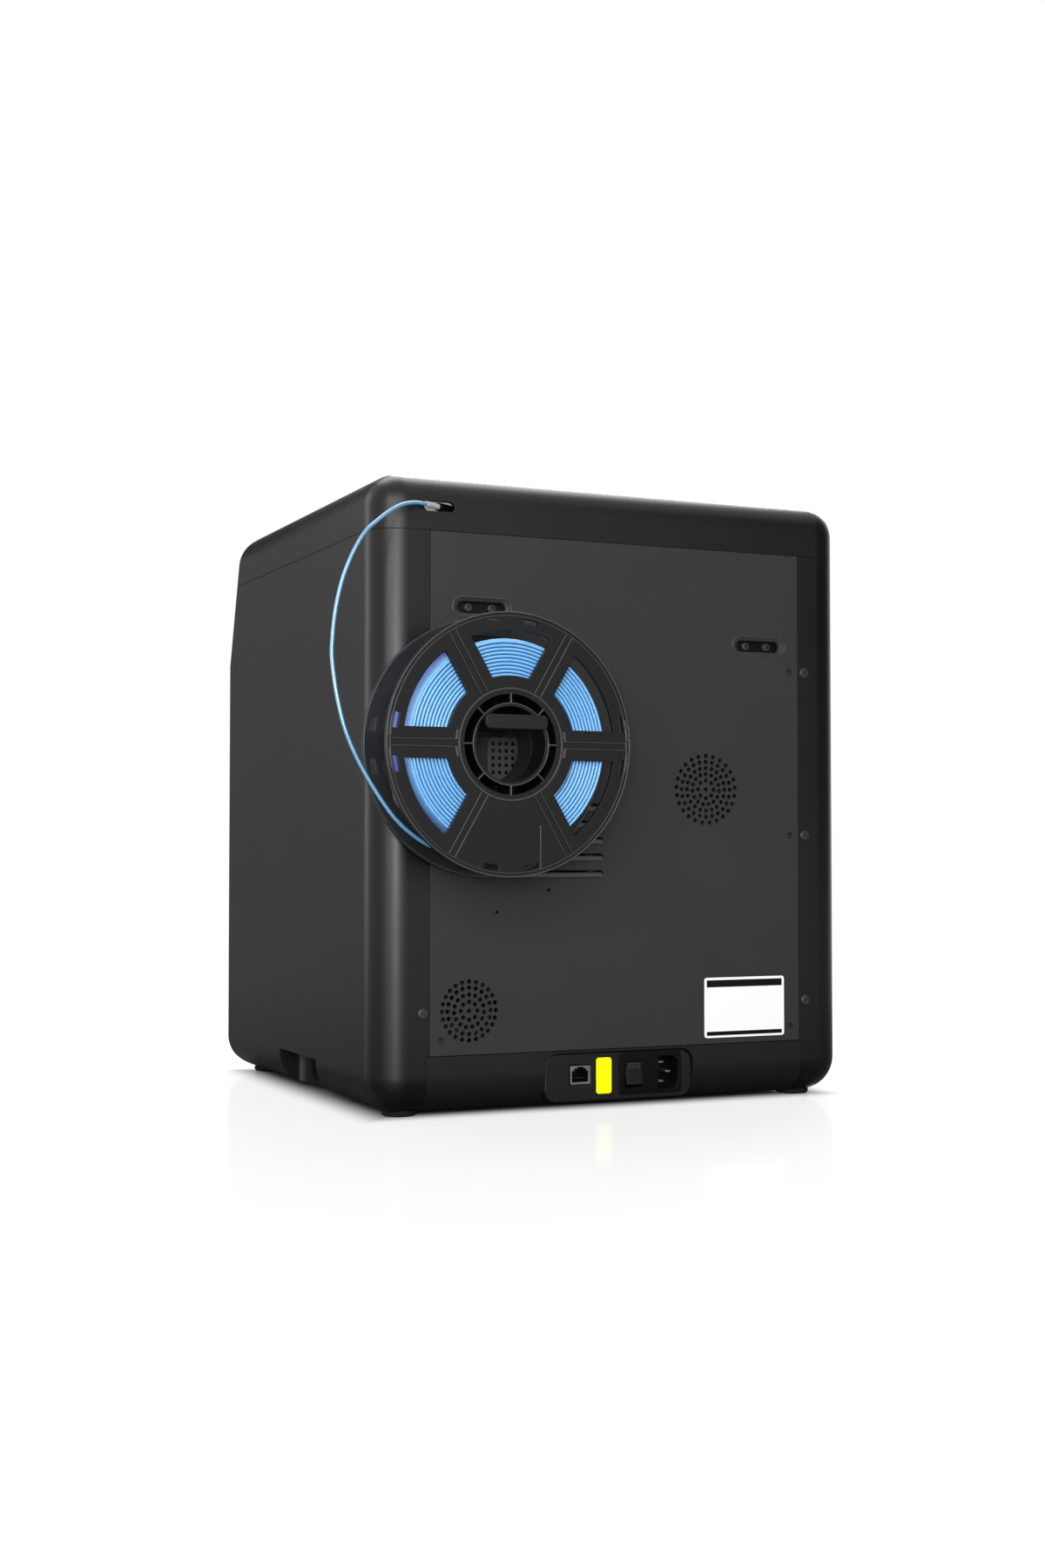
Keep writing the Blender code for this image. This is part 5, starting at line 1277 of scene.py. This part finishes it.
label = pressed(rounded(LABEL_X, LABEL_Z, 2.0, 4), [], "Y", 185.45, 185.65, 0.05)
place_piece("rating_label", label, banded_label("label_film"))
tag = pressed(rounded((8.2, 20.6), (11, 37), 2.2, 6), [], "Y", 183.45, 183.7, 0.05)
place_piece("yellow_tag", tag, tag_film("tag_film"))

# %% [markdown]
# ## Base and feet
# The machine stands on four rubber feet with a stepped edge. One foot is turned and stamped on four places.
# The base pan between them is cut from the housing's block.

# %% Base and feet
base_keep = block((-150.35, -FAR, 0), (150.35, 129.85, 31.35))
base = cut(common(housing_block(0, 0), base_keep), hollow())
place_piece("base_pan", base, BASE, ["base_tray"], edge=0.4)
foot_profile = [(10.2, 0), (11.4, 0.25), (12.1, 1.0), (12.5, 2.2), (12.5, 3.4), (11.8, 3.7), (11.8, 5.2)]
foot = at_origin(turned(foot_profile, (0, 0), "Z", 48))
foot_places = [here(side * 162, y, 0) for side in (1, -1) for y in (155.5, -157)]
feet = stamped(foot, foot_places, RUBBER)
foot_nodes = [f"{end}_{hand}_foot" for end in ("front", "rear") for hand in ("left", "right")]
place_piece("rubber_feet", feet, RUBBER, foot_nodes)

# %% [markdown]
# ## Front wall, door and screen
# The front isn't in the photograph, so it follows what enclosed printers have: a door with a smoked window
# that swings on two steel pins, a bow handle, and a small touch screen in the chin below. The wall is cut
# from the housing's block, with a doorway and a hole for the screen.

# %% Front wall
front_keep = block((-150.35, -FAR, 31.65), (150.35, -150, 411.55))
doorway = prism(rounded((-125, 125), (125, 335), 8), "Y", -FAR, -150)
screen_hole = block((19.7, -FAR, 41.7), (130.3, -150, 101.3))
front = cut(common(housing_block(0, 0), front_keep), hollow(), doorway, screen_hole)
HINGE_X, HINGE_Y = -134.0, -191.8
lugs = []
for low in (345.6, 103.0):
    lug = rounded((HINGE_X - 6, HINGE_X + 6), (HINGE_Y - 5, -183), 3)
    lugs.append(pressed(lug, [circle((HINGE_X, HINGE_Y), 2.3, 24)], "Z", low, low + 6.4, 0.5))
place_piece("front_wall", front, CHASSIS, ["front_frame"], edge=0.5)
place_piece("hinge_lugs", merged(lugs), CHASSIS)

# %% [markdown]
# ## Door
# The door is a frame with a rebate for its pane. Its plan ends in a half circle about the hinge, so that it
# turns without touching the wall. The plan is pulled upright, and the window and the bores for the pins are
# cut out.

# %% Door
door_plan = arc((HINGE_X, HINGE_Y), 6, 270, 90, 18)
door_plan += arc((137, -188.8), 3, 90, 0, 4) + arc((137, -194.8), 3, 0, -90, 4)
door_block = prism(door_plan, "Z", 110, 345)
door_window = prism(rounded((-112, 112), (130, 325), 8), "Y", -FAR, 0)
rebate = prism(rounded((-118, 118), (124, 331), 8), "Y", -189.2, 0)
bores = [prism(circle((HINGE_X, HINGE_Y), 2.3, 24), "Z", low, low + 10) for low in (109, 336)]
door_surround = cut(door_block, door_window, rebate, *bores)
place_piece("door_surround", door_surround, CHASSIS, ["door_frame"], "door", edge=0.6)

# %% [markdown]
# ## Door pane and handle
# The pane lies in the rebate behind the window. The handle is a bow that leaves room for fingers. Its
# outline is drawn for one half and mirrored about its middle.

# %% Door pane and handle
pane = pressed(rounded((-117.7, 117.7), (124.3, 330.7), 7.7), [], "Y", -188.9, -186.1, 0.4)
place_piece("door_pane", pane, ACRYLIC, ["door_glass"], "door")
HANDLE_Z = 235.0
outer_bow = [(-198.1, 45), (-210.5, 45), (-212.8, 44), (-213.5, 42)]
inner_bow = [(-207.1, 34.4), (-206.4, 36.2), (-204.5, 37), (-198.1, 37)]
bow = [(y, HANDLE_Z - reach) for y, reach in outer_bow]
bow += [(y, HANDLE_Z + reach) for y, reach in outer_bow[::-1] + inner_bow[::-1]]
bow += [(y, HANDLE_Z - reach) for y, reach in inner_bow]
handle = pressed(bow, [], "X", 121, 133, 1.4)
place_piece("bow_handle", handle, SHELL, ["door_handle"], "door")

# %% [markdown]
# ## Touch screen and lid
# The screen is dark glass on a shallow case. The lid is a loose pane of hazy acrylic in the cover's recess,
# which can be lifted off. All are flat pieces with rounded edges.

# %% Touch screen and lid
screen_outline = rounded((20, 130), (42, 101), 3)
glass = pressed(screen_outline, [], "Y", -186.5, -184.5, 0.5)
screen_case = pressed(screen_outline, [], "Y", -184.6, -177.5, 0.3)
place_piece("screen_front", merged([glass, screen_case]), SCREEN, ["touch_screen"])
lid = pressed(rounded((-149.7, 149.7), (-119.7, 147.7), 11.7), [], "Z", 449, 453, 0.6)
place_piece("lift_off_lid", lid, HAZY_ACRYLIC, ["top_lid"], "lid")

# %% [markdown]
# ## Inside the chamber
# Behind the smoked door and lid the head rides on a beam, the beam on two rods, and the plate on a screw
# and two more rods. The rods, the folded frames and the fan frames already have their shapes in the
# measured solids, so they keep them, with metal and plastic finishes. The finer pieces follow below.


# %% Finishes of the inner pieces
def coated_plate(name):
    """A spring-steel plate with a powder coat that has a coarse sparkle."""
    material, shader, place = new_finish(name, (0.03, 0.03, 0.032), 0.7)
    grit = place.make("TexVoronoi", {}, {"Vector": place, "Scale": 900.0}, output="Distance")
    grit.mix((0.016, 0.016, 0.017), (0.06, 0.058, 0.054)).feed(shader, "Base Color")
    (0.55 + grit * 0.3).feed(shader, "Roughness")
    bump = place.make("Bump", {}, {"Height": grit, "Strength": 0.3, "Distance": 0.0002})
    bump.feed(shader, "Normal")
    return material


def laminate(name):
    """A green circuit board with a faint weave."""
    material, shader, place = new_finish(name, (0.02, 0.16, 0.07), 0.35)
    weave = place.make("TexBrick", {}, {"Vector": place, "Scale": 160.0}, output="Fac")
    weave.mix((0.015, 0.13, 0.055), (0.025, 0.18, 0.08)).feed(shader, "Base Color")
    (0.3 + weave * 0.15).feed(shader, "Roughness")
    return material


PLATE_COAT = coated_plate("coated_plate")
BOARD = laminate("board_laminate")
MOTOR = metal("motor_steel", (0.12, 0.12, 0.125), 0.45, (1.0, 1.0, 0.2))
BELT = moulded("belt_rubber", (0.012, 0.012, 0.012), 0.7, 0.8, 0.2)
polish(SHEET, 0.6, "gantry_frame", "bed_carriage", "chamber_floor")
polish(ROD, 0.4, "left_y_rod", "right_y_rod", "upper_hinge_pin", "lower_hinge_pin")
polish(ROD_UP, 0.4, "left_z_rod", "right_z_rod")
polish(SOCKET, 0.6, "left_tensioner", "right_tensioner")
polish(CHASSIS, 0.5, "exhaust_fan_frame", "board_fan_frame")

# %% [markdown]
# ## Lift screw
# The lift's screw has a rounded thread. A Screw modifier could make it, but a tube that follows a helix
# around a thinner core is lighter and looks the same from outside.


# %% Lift screw
def helix(centre, radius, pitch, low, high, per_turn=14):
    """Points of a thread around an upright axis."""
    steps = int((high - low) / pitch * per_turn)
    points = []
    for step in range(steps + 1):
        angle = step / per_turn * 2 * math.pi
        x, y = centre[0] + radius * math.cos(angle), centre[1] + radius * math.sin(angle)
        points.append(here(x, y, low + (high - low) * step / steps))
    return points


SCREW_AT = (0.0, 135.0)
shaft = turned([(2.4, 98), (3.1, 98.6), (3.1, 333.1), (2.4, 333.7)], SCREW_AT, "Z", 24)
thread = tube_along(helix(SCREW_AT, 3.3, 2.0, 99.5, 332), 0.6, ROD_UP, 6)
lift_screw = merged([shaft, thread])
place_piece("threaded_screw", lift_screw, ROD_UP, ["lead_screw"], "screw", sharp=50)

# %% [markdown]
# ## Belts
# Each belt is a band with small teeth on its inner side. One tooth is drawn and stamped along both straight
# runs.

# %% Belts
BELT_ENDS = (-150.0, 150.0)
for side, hand, belt_z in ((1, "right", 359.0), (-1, "left", 341.0)):
    x = side * 145.0
    loops = []
    for radius in (7.6, 6.6):
        front_bend = arc((x, BELT_ENDS[0]), radius, 180, 360, 16)
        rear_bend = arc((x, BELT_ENDS[1]), radius, 0, 180, 16)
        loops.append(front_bend + rear_bend)
    band = pressed(loops[0], loops[1:], "Z", belt_z - 3, belt_z + 3, 0.15)
    tooth = at_origin(block((-0.4, -0.5, -2.9), (0.4, 0.5, 2.9)))
    runs = [here(x + shift, BELT_ENDS[0] + 2 * n, belt_z) for shift in (-6.35, 6.35) for n in range(151)]
    belt = merged([band, stamped(tooth, runs, BELT)])
    place_piece(f"{hand}_toothed_belt", belt, BELT, [f"{hand}_belt"])


# %% [markdown]
# ## Motors
# A stepper motor is a stack of dark steel sheets between two cast end caps with cut corners. The upper two
# motors carry a toothed pulley each, and the third one turns the screw from below the chamber. Pressed
# outlines make all of it, and a loop of short arcs draws the pulley's teeth.


# %% Motors
def cut_square(centre, half, chamfer):
    """A square outline with cut corners."""
    near = half - chamfer
    upper = [(half, near), (near, half), (-near, half), (-half, near)]
    lower = [(-a, -b) for a, b in upper]
    return [(centre[0] + a, centre[1] + b) for a, b in upper + lower]


motor_places = (((145.0, -150.0), 307, 345), ((-145.0, -150.0), 289, 327), (SCREW_AT, 59.7, 97.7))
stacks, caps, pulleys = [], [], []
for place, low, high in motor_places:
    stacks.append(pressed(cut_square(place, 20.6, 3), [], "Z", low + 9, high - 9, 0.4))
    for cap in ((low, low + 9.3), (high - 9.3, high)):
        caps.append(pressed(cut_square(place, 21, 4), [], "Z", *cap, 0.8))
for place, low, high in motor_places[:2]:
    teeth = []
    for n in range(20):
        teeth += arc(place, 5.7, 18 * n, 18 * n + 9, 2) + arc(place, 5.1, 18 * n + 10, 18 * n + 17, 2)
    pulleys.append(prism(teeth, "Z", high + 10, high + 18))
    pulleys.append(turned([(5.6, high - 0.5), (5.6, high + 10), (5.7, high + 10.5)], place, "Z", 32))
place_piece("motor_stacks", merged(stacks), MOTOR, ["left_motor", "right_motor", "z_motor"])
place_piece("motor_caps", merged(caps), SHEET)
place_piece("drive_pulleys", merged(pulleys), SHEET)

# %% [markdown]
# ## Gantry
# The beam is an aluminium bar with a groove along each side, between two bearing blocks that run on the
# rods. A quarter of its outline is drawn and turned four times, because the bar is the same on every side.

# %% Gantry
ROD_Z = 378.0
groove = [(8, 8), (2.6, 8), (2.6, 5), (-2.6, 5), (-2.6, 8)]
beam_outline = []
for quarter in range(4):
    turn = Matrix.Rotation(quarter * math.pi / 2, 2)
    beam_outline += [tuple(turn @ Vector(point) + Vector((0, ROD_Z))) for point in groove]
beam = prism(beam_outline, "X", -156, 156)
bearings = []
for side in (1, -1):
    bearing = pressed(rounded((-20, 20), (367, 389), 3), [], "X", *sorted((side * 155, side * 174.5)), 0.8)
    bearings.append(cut(bearing, prism(circle((side * 165, ROD_Z), 4.3, 32), "Y", -30, 30)))
bolt = button_screw(2.6, 1.4, 1.3)
bolt.transform(Matrix.Rotation(math.pi / 2, 4, "X"))
bolts = stamped(bolt, [here(side * 165, y, 388.9) for side in (1, -1) for y in (-14, 14)], BLACK_STEEL)
gantry_bar = merged([beam, *bearings])
place_piece("gantry_bar", gantry_bar, SHEET, ["gantry_beam"], "gantry", sharp=30)
place_piece("bearing_bolts", bolts, BLACK_STEEL, body="gantry")

# %% [markdown]
# ## Fan rotors
# A rotor is a hub with pitched blades. One blade is lofted through three sections, and a tree turns its
# copies about the axis. The same function makes the rotors of the two rear fans and of the small one on the
# head.


# %% Fan rotors
def fan_rotor(centre, hub, tip, low, high, blades=7):
    """A hub with pitched blades, turned about an axis along Y."""
    middle, half = (low + high) / 2, (high - low) / 2
    rings = []
    for radius in (hub - 0.5, (hub + tip) / 2, tip):
        chord, lift = radius * 0.34, half * 0.85
        corners = ((-chord, -lift), (-chord, 0.9 - lift), (chord, lift), (chord, lift - 0.9))
        rings.append([Vector((radius, a, b)) * MM for a, b in corners])
    fan = turned_copies(loft(rings), blades, CHASSIS)
    tilted = Matrix.Rotation(math.pi / 2, 4, "X")
    fan.transform(Matrix.Translation(here(centre[0], middle, centre[1])) @ tilted)
    bm = bmesh.new()
    bm.from_mesh(fan)
    cap = [(hub - 0.8, low), (hub, low + 0.8), (hub, high - 0.8), (hub - 0.8, high)]
    return merged([mesh_from(bm), turned(cap, centre, "Y", 32)])


exhaust_rotor = fan_rotor(EXHAUST_AT, 11.4, 27, 167.3, 178.7)
place_piece("exhaust_blades", exhaust_rotor, ROCKER, ["exhaust_fan_rotor"], "exhaust_rotor")
cooler_rotor = fan_rotor(COOLER_AT, 7.6, 17, 172.3, 178.7)
place_piece("cooler_blades", cooler_rotor, ROCKER, ["board_fan_rotor"], "board_rotor")

# %% [markdown]
# ## Print head
# The head is a moulded hood with side slots and a small fan in front, above a heater block and a turned
# brass nozzle. The hood is pressed from its side view, and the passage for the beam is cut through it.

# %% Print head
hood_profile = [(20, 362), (20, 420), (-20, 420), (-32, 408), (-32, 350), (-6, 350)]
passage = block((-FAR, -8.3, ROD_Z - 8.3), (FAR, 8.3, ROD_Z + 8.3))
HEAD_FAN = (0.0, 382.0)
fan_well = prism(circle(HEAD_FAN, 15.2, 48), "Y", -40, -26.5)
side_slots = []
for n in range(5):
    slot = rounded((-16, 12), span(395 + 4 * n, 1.8), 0.8, 3)
    side_slots += [prism(slot, "X", x, x + 4) for x in (17.5, -21.5)]
hood = cut(pressed(hood_profile, [], "X", -20, 20, 1.2), passage, fan_well, *side_slots)
place_piece("head_hood", hood, SHELL, ["print_head"], "head", sharp=40)
place_piece("head_fan", fan_rotor(HEAD_FAN, 6, 14.2, -31, -26.4), SOCKET, body="head")
fitting = turned([(4.6, 419.5), (4.6, 423), (3.6, 423.6), (3.6, 427.4), (3.0, 428)], (0, 6), "Z", 32)
place_piece("tube_fitting", fitting, ROD_UP, body="head")
NOZZLE_AT = (0.0, -18.0)
tip_profile = [(0.5, 330), (0.8, 330.1), (3.4, 334), (3.4, 335.2), (2.9, 335.6), (2.9, 341)]
tip = turned(tip_profile, NOZZLE_AT, "Z", 32)
hexagon = pressed(circle(NOZZLE_AT, 4.3, 6), [], "Z", 335.4, 338.6, 0.3)
place_piece("nozzle_tip", merged([tip, hexagon]), BRASS, ["nozzle"], "head")
heater = pressed(rounded((-9, 9), (-26, -12), 0.8), [], "Z", 339.5, 347.3, 0.5)
neck = turned([(2.4, 347), (2.4, 350.5)], NOZZLE_AT, "Z", 24)
place_piece("heater_block", merged([heater, neck]), SHEET, body="head")

# %% [markdown]
# ## Print plate
# The plate is a heated slab with a thin coated steel sheet on it, which has a tab to lift it off by. Slab,
# sheet and tab are pressed from outlines, because nothing on them changes with height.

# %% Print plate
slab = pressed(rounded((-116, 116), (-126, 106), 6), [], "Z", 110.3, 115.3, 0.5)
place_piece("heated_slab", slab, SHEET, ["build_plate"], "bed")
tab = arc((22, -126), 6, 0, -90, 6) + arc((-22, -126), 6, -90, -180, 6) + [(-28, -120), (28, -120)]
sheet = rounded((-115.5, 115.5), (-125.5, 105.5), 6)
sheet_parts = [pressed(outline, [], "Z", 115.3, 116.2, 0.2) for outline in (sheet, tab)]
place_piece("print_sheet", merged(sheet_parts), PLATE_COAT, body="bed")

# %% [markdown]
# ## Electronics
# In the bay below the chamber lie the control board with its chips and capacitors, and the power supply in
# a punched sheet case. Chips, headers and cans are each drawn once and stamped, as a real board repeats
# them too.

# %% Electronics
board = pressed(rounded((-20, 130), (-90, 60), 2), [], "Z", 12.8, 14.4, 0.15)
post_places = ((-14, -84), (124, -84), (124, 54), (-14, 54))
posts = [turned([(3, 8.9), (3, 13)], place, "Z", 24) for place in post_places]
place_piece("main_board", merged([board, *posts]), BOARD, ["control_board"])
chip = at_origin(pressed(rounded((-6, 6), (-6, 6), 0.6, 2), [], "Z", -0.2, 1.6, 0.2))
BOARD_TOP = 14.4
chip_places = ((30, -20), (55, 5), (80, -45), (80, -20), (80, 5), (10, 25))
chips = stamped(chip, [here(x, y, BOARD_TOP) for x, y in chip_places], SOCKET)
header = at_origin(pressed(rounded((-7, 7), (-3, 3), 0.5, 2), [], "Z", -0.2, 9, 0.3))
headers = stamped(header, [here(x, y, BOARD_TOP) for x in range(0, 111, 22) for y in (-82, 52)], SOCKET)
place_piece("chips_and_headers", merged([chips, headers]), SOCKET)
can = at_origin(turned([(4, -0.2), (4, 0.8), (3.8, 1.4), (4, 2), (4, 9.6), (3.4, 10.2)], (0, 0), "Z", 24))
cans = stamped(can, [here(106 + 12 * (n % 2), -50 + 14 * (n // 2), BOARD_TOP) for n in range(6)], SHEET)
place_piece("capacitors", cans, SHEET)
vents = [circle((-130 + 9 * column, -108 + 9 * row), 2.2, 12) for column in range(10) for row in range(22)]
case_outline = rounded((-138, -40), (-120, 95), 1)
case_top = pressed(case_outline, vents, "Z", 49.6, 50.8, 0.2)
case = pressed(case_outline, [rounded((-137, -41), (-119, 94), 0.8)], "Z", 8.8, 50, 0.2)
case_floor = prism(rounded((-137.5, -40.5), (-119.5, 94.5), 1), "Z", 9, 9.8)
place_piece("supply_case", merged([case_top, case, case_floor]), SHEET, ["power_supply"])

# %% [markdown]
# ## Floor
# The floor is pale and matt. It gives most of its white as its own light, so it stays white while it keeps
# the machine's shadow. The camera sees that light everywhere but under the machine, where leaving it out
# paints a darker contact shadow. Panes and glossy surfaces see it only from further behind, over a darker
# matt colour, which paints shade into the floor that they mirror.


# %% Floor
def seen_directly(value):
    """One for rays from the camera, and for those that a mirror or a pane sends on."""
    kinds = ("Camera", "Glossy", "Transmission")
    direct, mirrored, through = (value.make("LightPath", output=f"Is {kind} Ray") for kind in kinds)
    return value.maths("MINIMUM", direct + mirrored + through, 1.0)


floor_mesh = bpy.data.meshes.new("studio_floor")
reach = 30.0
corners = [(-reach, -reach, 0), (reach, -reach, 0), (reach, reach, 0), (-reach, reach, 0)]
floor_mesh.from_pydata(corners, [], [(0, 1, 2, 3)])
floor = bpy.data.objects.new("studio_floor", floor_mesh)
floor.location.z = -0.0002
bpy.context.scene.collection.objects.link(floor)
floor_material = bpy.data.materials.new("studio_floor")
floor_material.use_nodes = True
floor_tree = floor_material.node_tree
floor_tree.nodes.clear()
paint = Shade(floor_tree)
seen = seen_directly(paint)
by_camera = paint.make("LightPath", output="Is Camera Ray")
# Rays other than the camera's see a darker matt floor: painted shade in the floor's reflections.
matt = paint.make("BsdfDiffuse", {}, {"Color": by_camera.mix((0.08, 0.08, 0.08), (0.18, 0.18, 0.18))})
spot = paint.make("TexCoord", output="Object")
# Under the machine the glow is left out: a painted contact shadow.
DARK_HALF_W, DARK_HALF_D = 163, 148
across = paint.make("SeparateXYZ", {}, {"Vector": spot}, output=0) - MACHINE.x * MM
behind = paint.make("SeparateXYZ", {}, {"Vector": spot}, output=1) - MACHINE.y * MM
beside_x = paint.maths("ABSOLUTE", across, 0.0) - DARK_HALF_W * MM
beside_y = paint.maths("ABSOLUTE", behind, 0.0) - DARK_HALF_D * MM
soft = {"interpolation_type": "SMOOTHSTEP"}
beside = paint.maths("MAXIMUM", beside_x, beside_y)
outside = paint.make("MapRange", soft, {"Value": beside, "From Max": 0.042})
further_out = paint.make("MapRange", soft, {"Value": behind, "From Min": 0.2, "From Max": 1.1})
shown = by_camera * outside + (seen - by_camera) * further_out
glow = paint.make("Emission", {}, {"Color": (1, 1, 1, 1), "Strength": shown * 0.82})
sheen = paint.make("BsdfGlossy", {}, {"Color": (1, 1, 1, 1), "Roughness": 0.10})
lit = paint.make("AddShader", {}, {0: matt, 1: glow})
near = paint.make("MixShader", {}, {0: 0.08, 1: lit, 2: sheen})
distance = paint.make("VectorMath", {"operation": "LENGTH"}, {0: spot}, output="Value")
far_share = paint.make("MapRange", soft, {"Value": distance, "From Min": 0.8, "From Max": 1.9})
far = paint.make("Emission", {}, {"Color": (1, 1, 1, 1), "Strength": 0.5 + seen * 0.5})
surface = paint.make("MixShader", {}, {0: far_share, 1: near, 2: far})
floor_out = floor_tree.nodes.new("ShaderNodeOutputMaterial")
floor_tree.links.new(surface.socket, floor_out.inputs["Surface"])
floor_mesh.materials.append(floor_material)
print("floor:", 2 * reach, "m wide")

# %% [markdown]
# ## Background
# The world is plain white. It shows at full strength to the camera, in mirrors and through panes, and
# lights the machine at half strength, so that the dark plastic keeps its depth.

# %% Background
world = bpy.data.worlds.new("studio_world")
bpy.context.scene.world = world
world.use_nodes = True
sky = Shade(world.node_tree)
backdrop = world.node_tree.nodes["Background"]
backdrop.inputs["Color"].default_value = (1, 1, 1, 1)
(0.5 + seen_directly(sky) * 0.5).feed(backdrop, "Strength")
bpy.context.scene.view_settings.view_transform = "Standard"
print("background ready")

# %% [markdown]
# ## Lamps
# The lamps are big and soft: a wide one behind the camera, which draws the bright band along the rounded
# rear corner, a fill that reaches into the spool, strips at the side, and boxes overhead and behind for the
# top edge. Small lamps would leave hard spots on satin plastic.


# %% Lamps
def soft_lamp(name, place, target, size, power):
    """A rectangular soft box that looks at a point."""
    light = bpy.data.lights.new(name, "AREA")
    light.shape = "RECTANGLE"
    light.size, light.size_y = size
    light.energy = power
    lamp = bpy.data.objects.new(name, light)
    bpy.context.scene.collection.objects.link(lamp)
    lamp.location = place
    lamp.rotation_mode = "QUATERNION"
    lamp.rotation_quaternion = (Vector(target) - Vector(place)).to_track_quat("-Z", "Y")
    lamp.visible_camera = False


middle = (0, 0, 0.22)
soft_lamp("key_box", (1.15, 2.25, 1.1), (0, 0, 0.27), (2.3, 1.7), 49)
soft_lamp("corner_strip", (1.5, 1.45, 0.6), middle, (0.35, 1.8), 5)
soft_lamp("camera_fill", (0.70, 1.54, 0.29), middle, (0.3, 0.3), 8)
soft_lamp("top_box", (-0.2, -0.8, 2.3), middle, (2.2, 1.2), 34)
soft_lamp("side_strip", (1.5, -1.05, 0.7), middle, (0.45, 1.6), 7)
soft_lamp("rim_box", (-1.25, -2.2, 1.9), (0, 0, 0.4), (2.2, 1.2), 125)
print("lamps:", [light.name for light in bpy.data.lights])

# %% [markdown]
# ## Cards
# Photographers stand dark cards beside a black object, out of sight, because its sides mirror the studio at
# a grazing angle. A grey card keeps the side wall dark, a black one above it darkens the wall's upper edge,
# and another black one draws the dark edge on the far side.


# %% Cards
def shade_card(name, place, width, span_z, grey):
    """An upright card that faces the machine and only shows in its gloss."""
    mesh = bpy.data.meshes.new(name)
    half = width / 2
    low, high = span_z
    mesh.from_pydata([(-half, 0, low), (half, 0, low), (half, 0, high), (-half, 0, high)], [], [(0, 1, 2, 3)])
    mesh.materials.append(new_finish(name, (grey, grey, grey), 0.9)[0])
    card = bpy.data.objects.new(name, mesh)
    bpy.context.scene.collection.objects.link(card)
    card.location = (*place, 0)
    card.rotation_euler.z = math.atan2(place[1], place[0]) - math.pi / 2
    card.visible_camera = False
    card.visible_diffuse = False
    card.visible_shadow = False


shade_card("side_card", (0.48, -0.95), 1.0, (0.002, 0.63), 0.27)
shade_card("top_card", (0.16, -1.2), 0.95, (0.60, 1.8), 0.01)
shade_card("edge_card", (-2.0, 0.9), 3.2, (0.002, 2.6), 0.04)
print("cards ready")
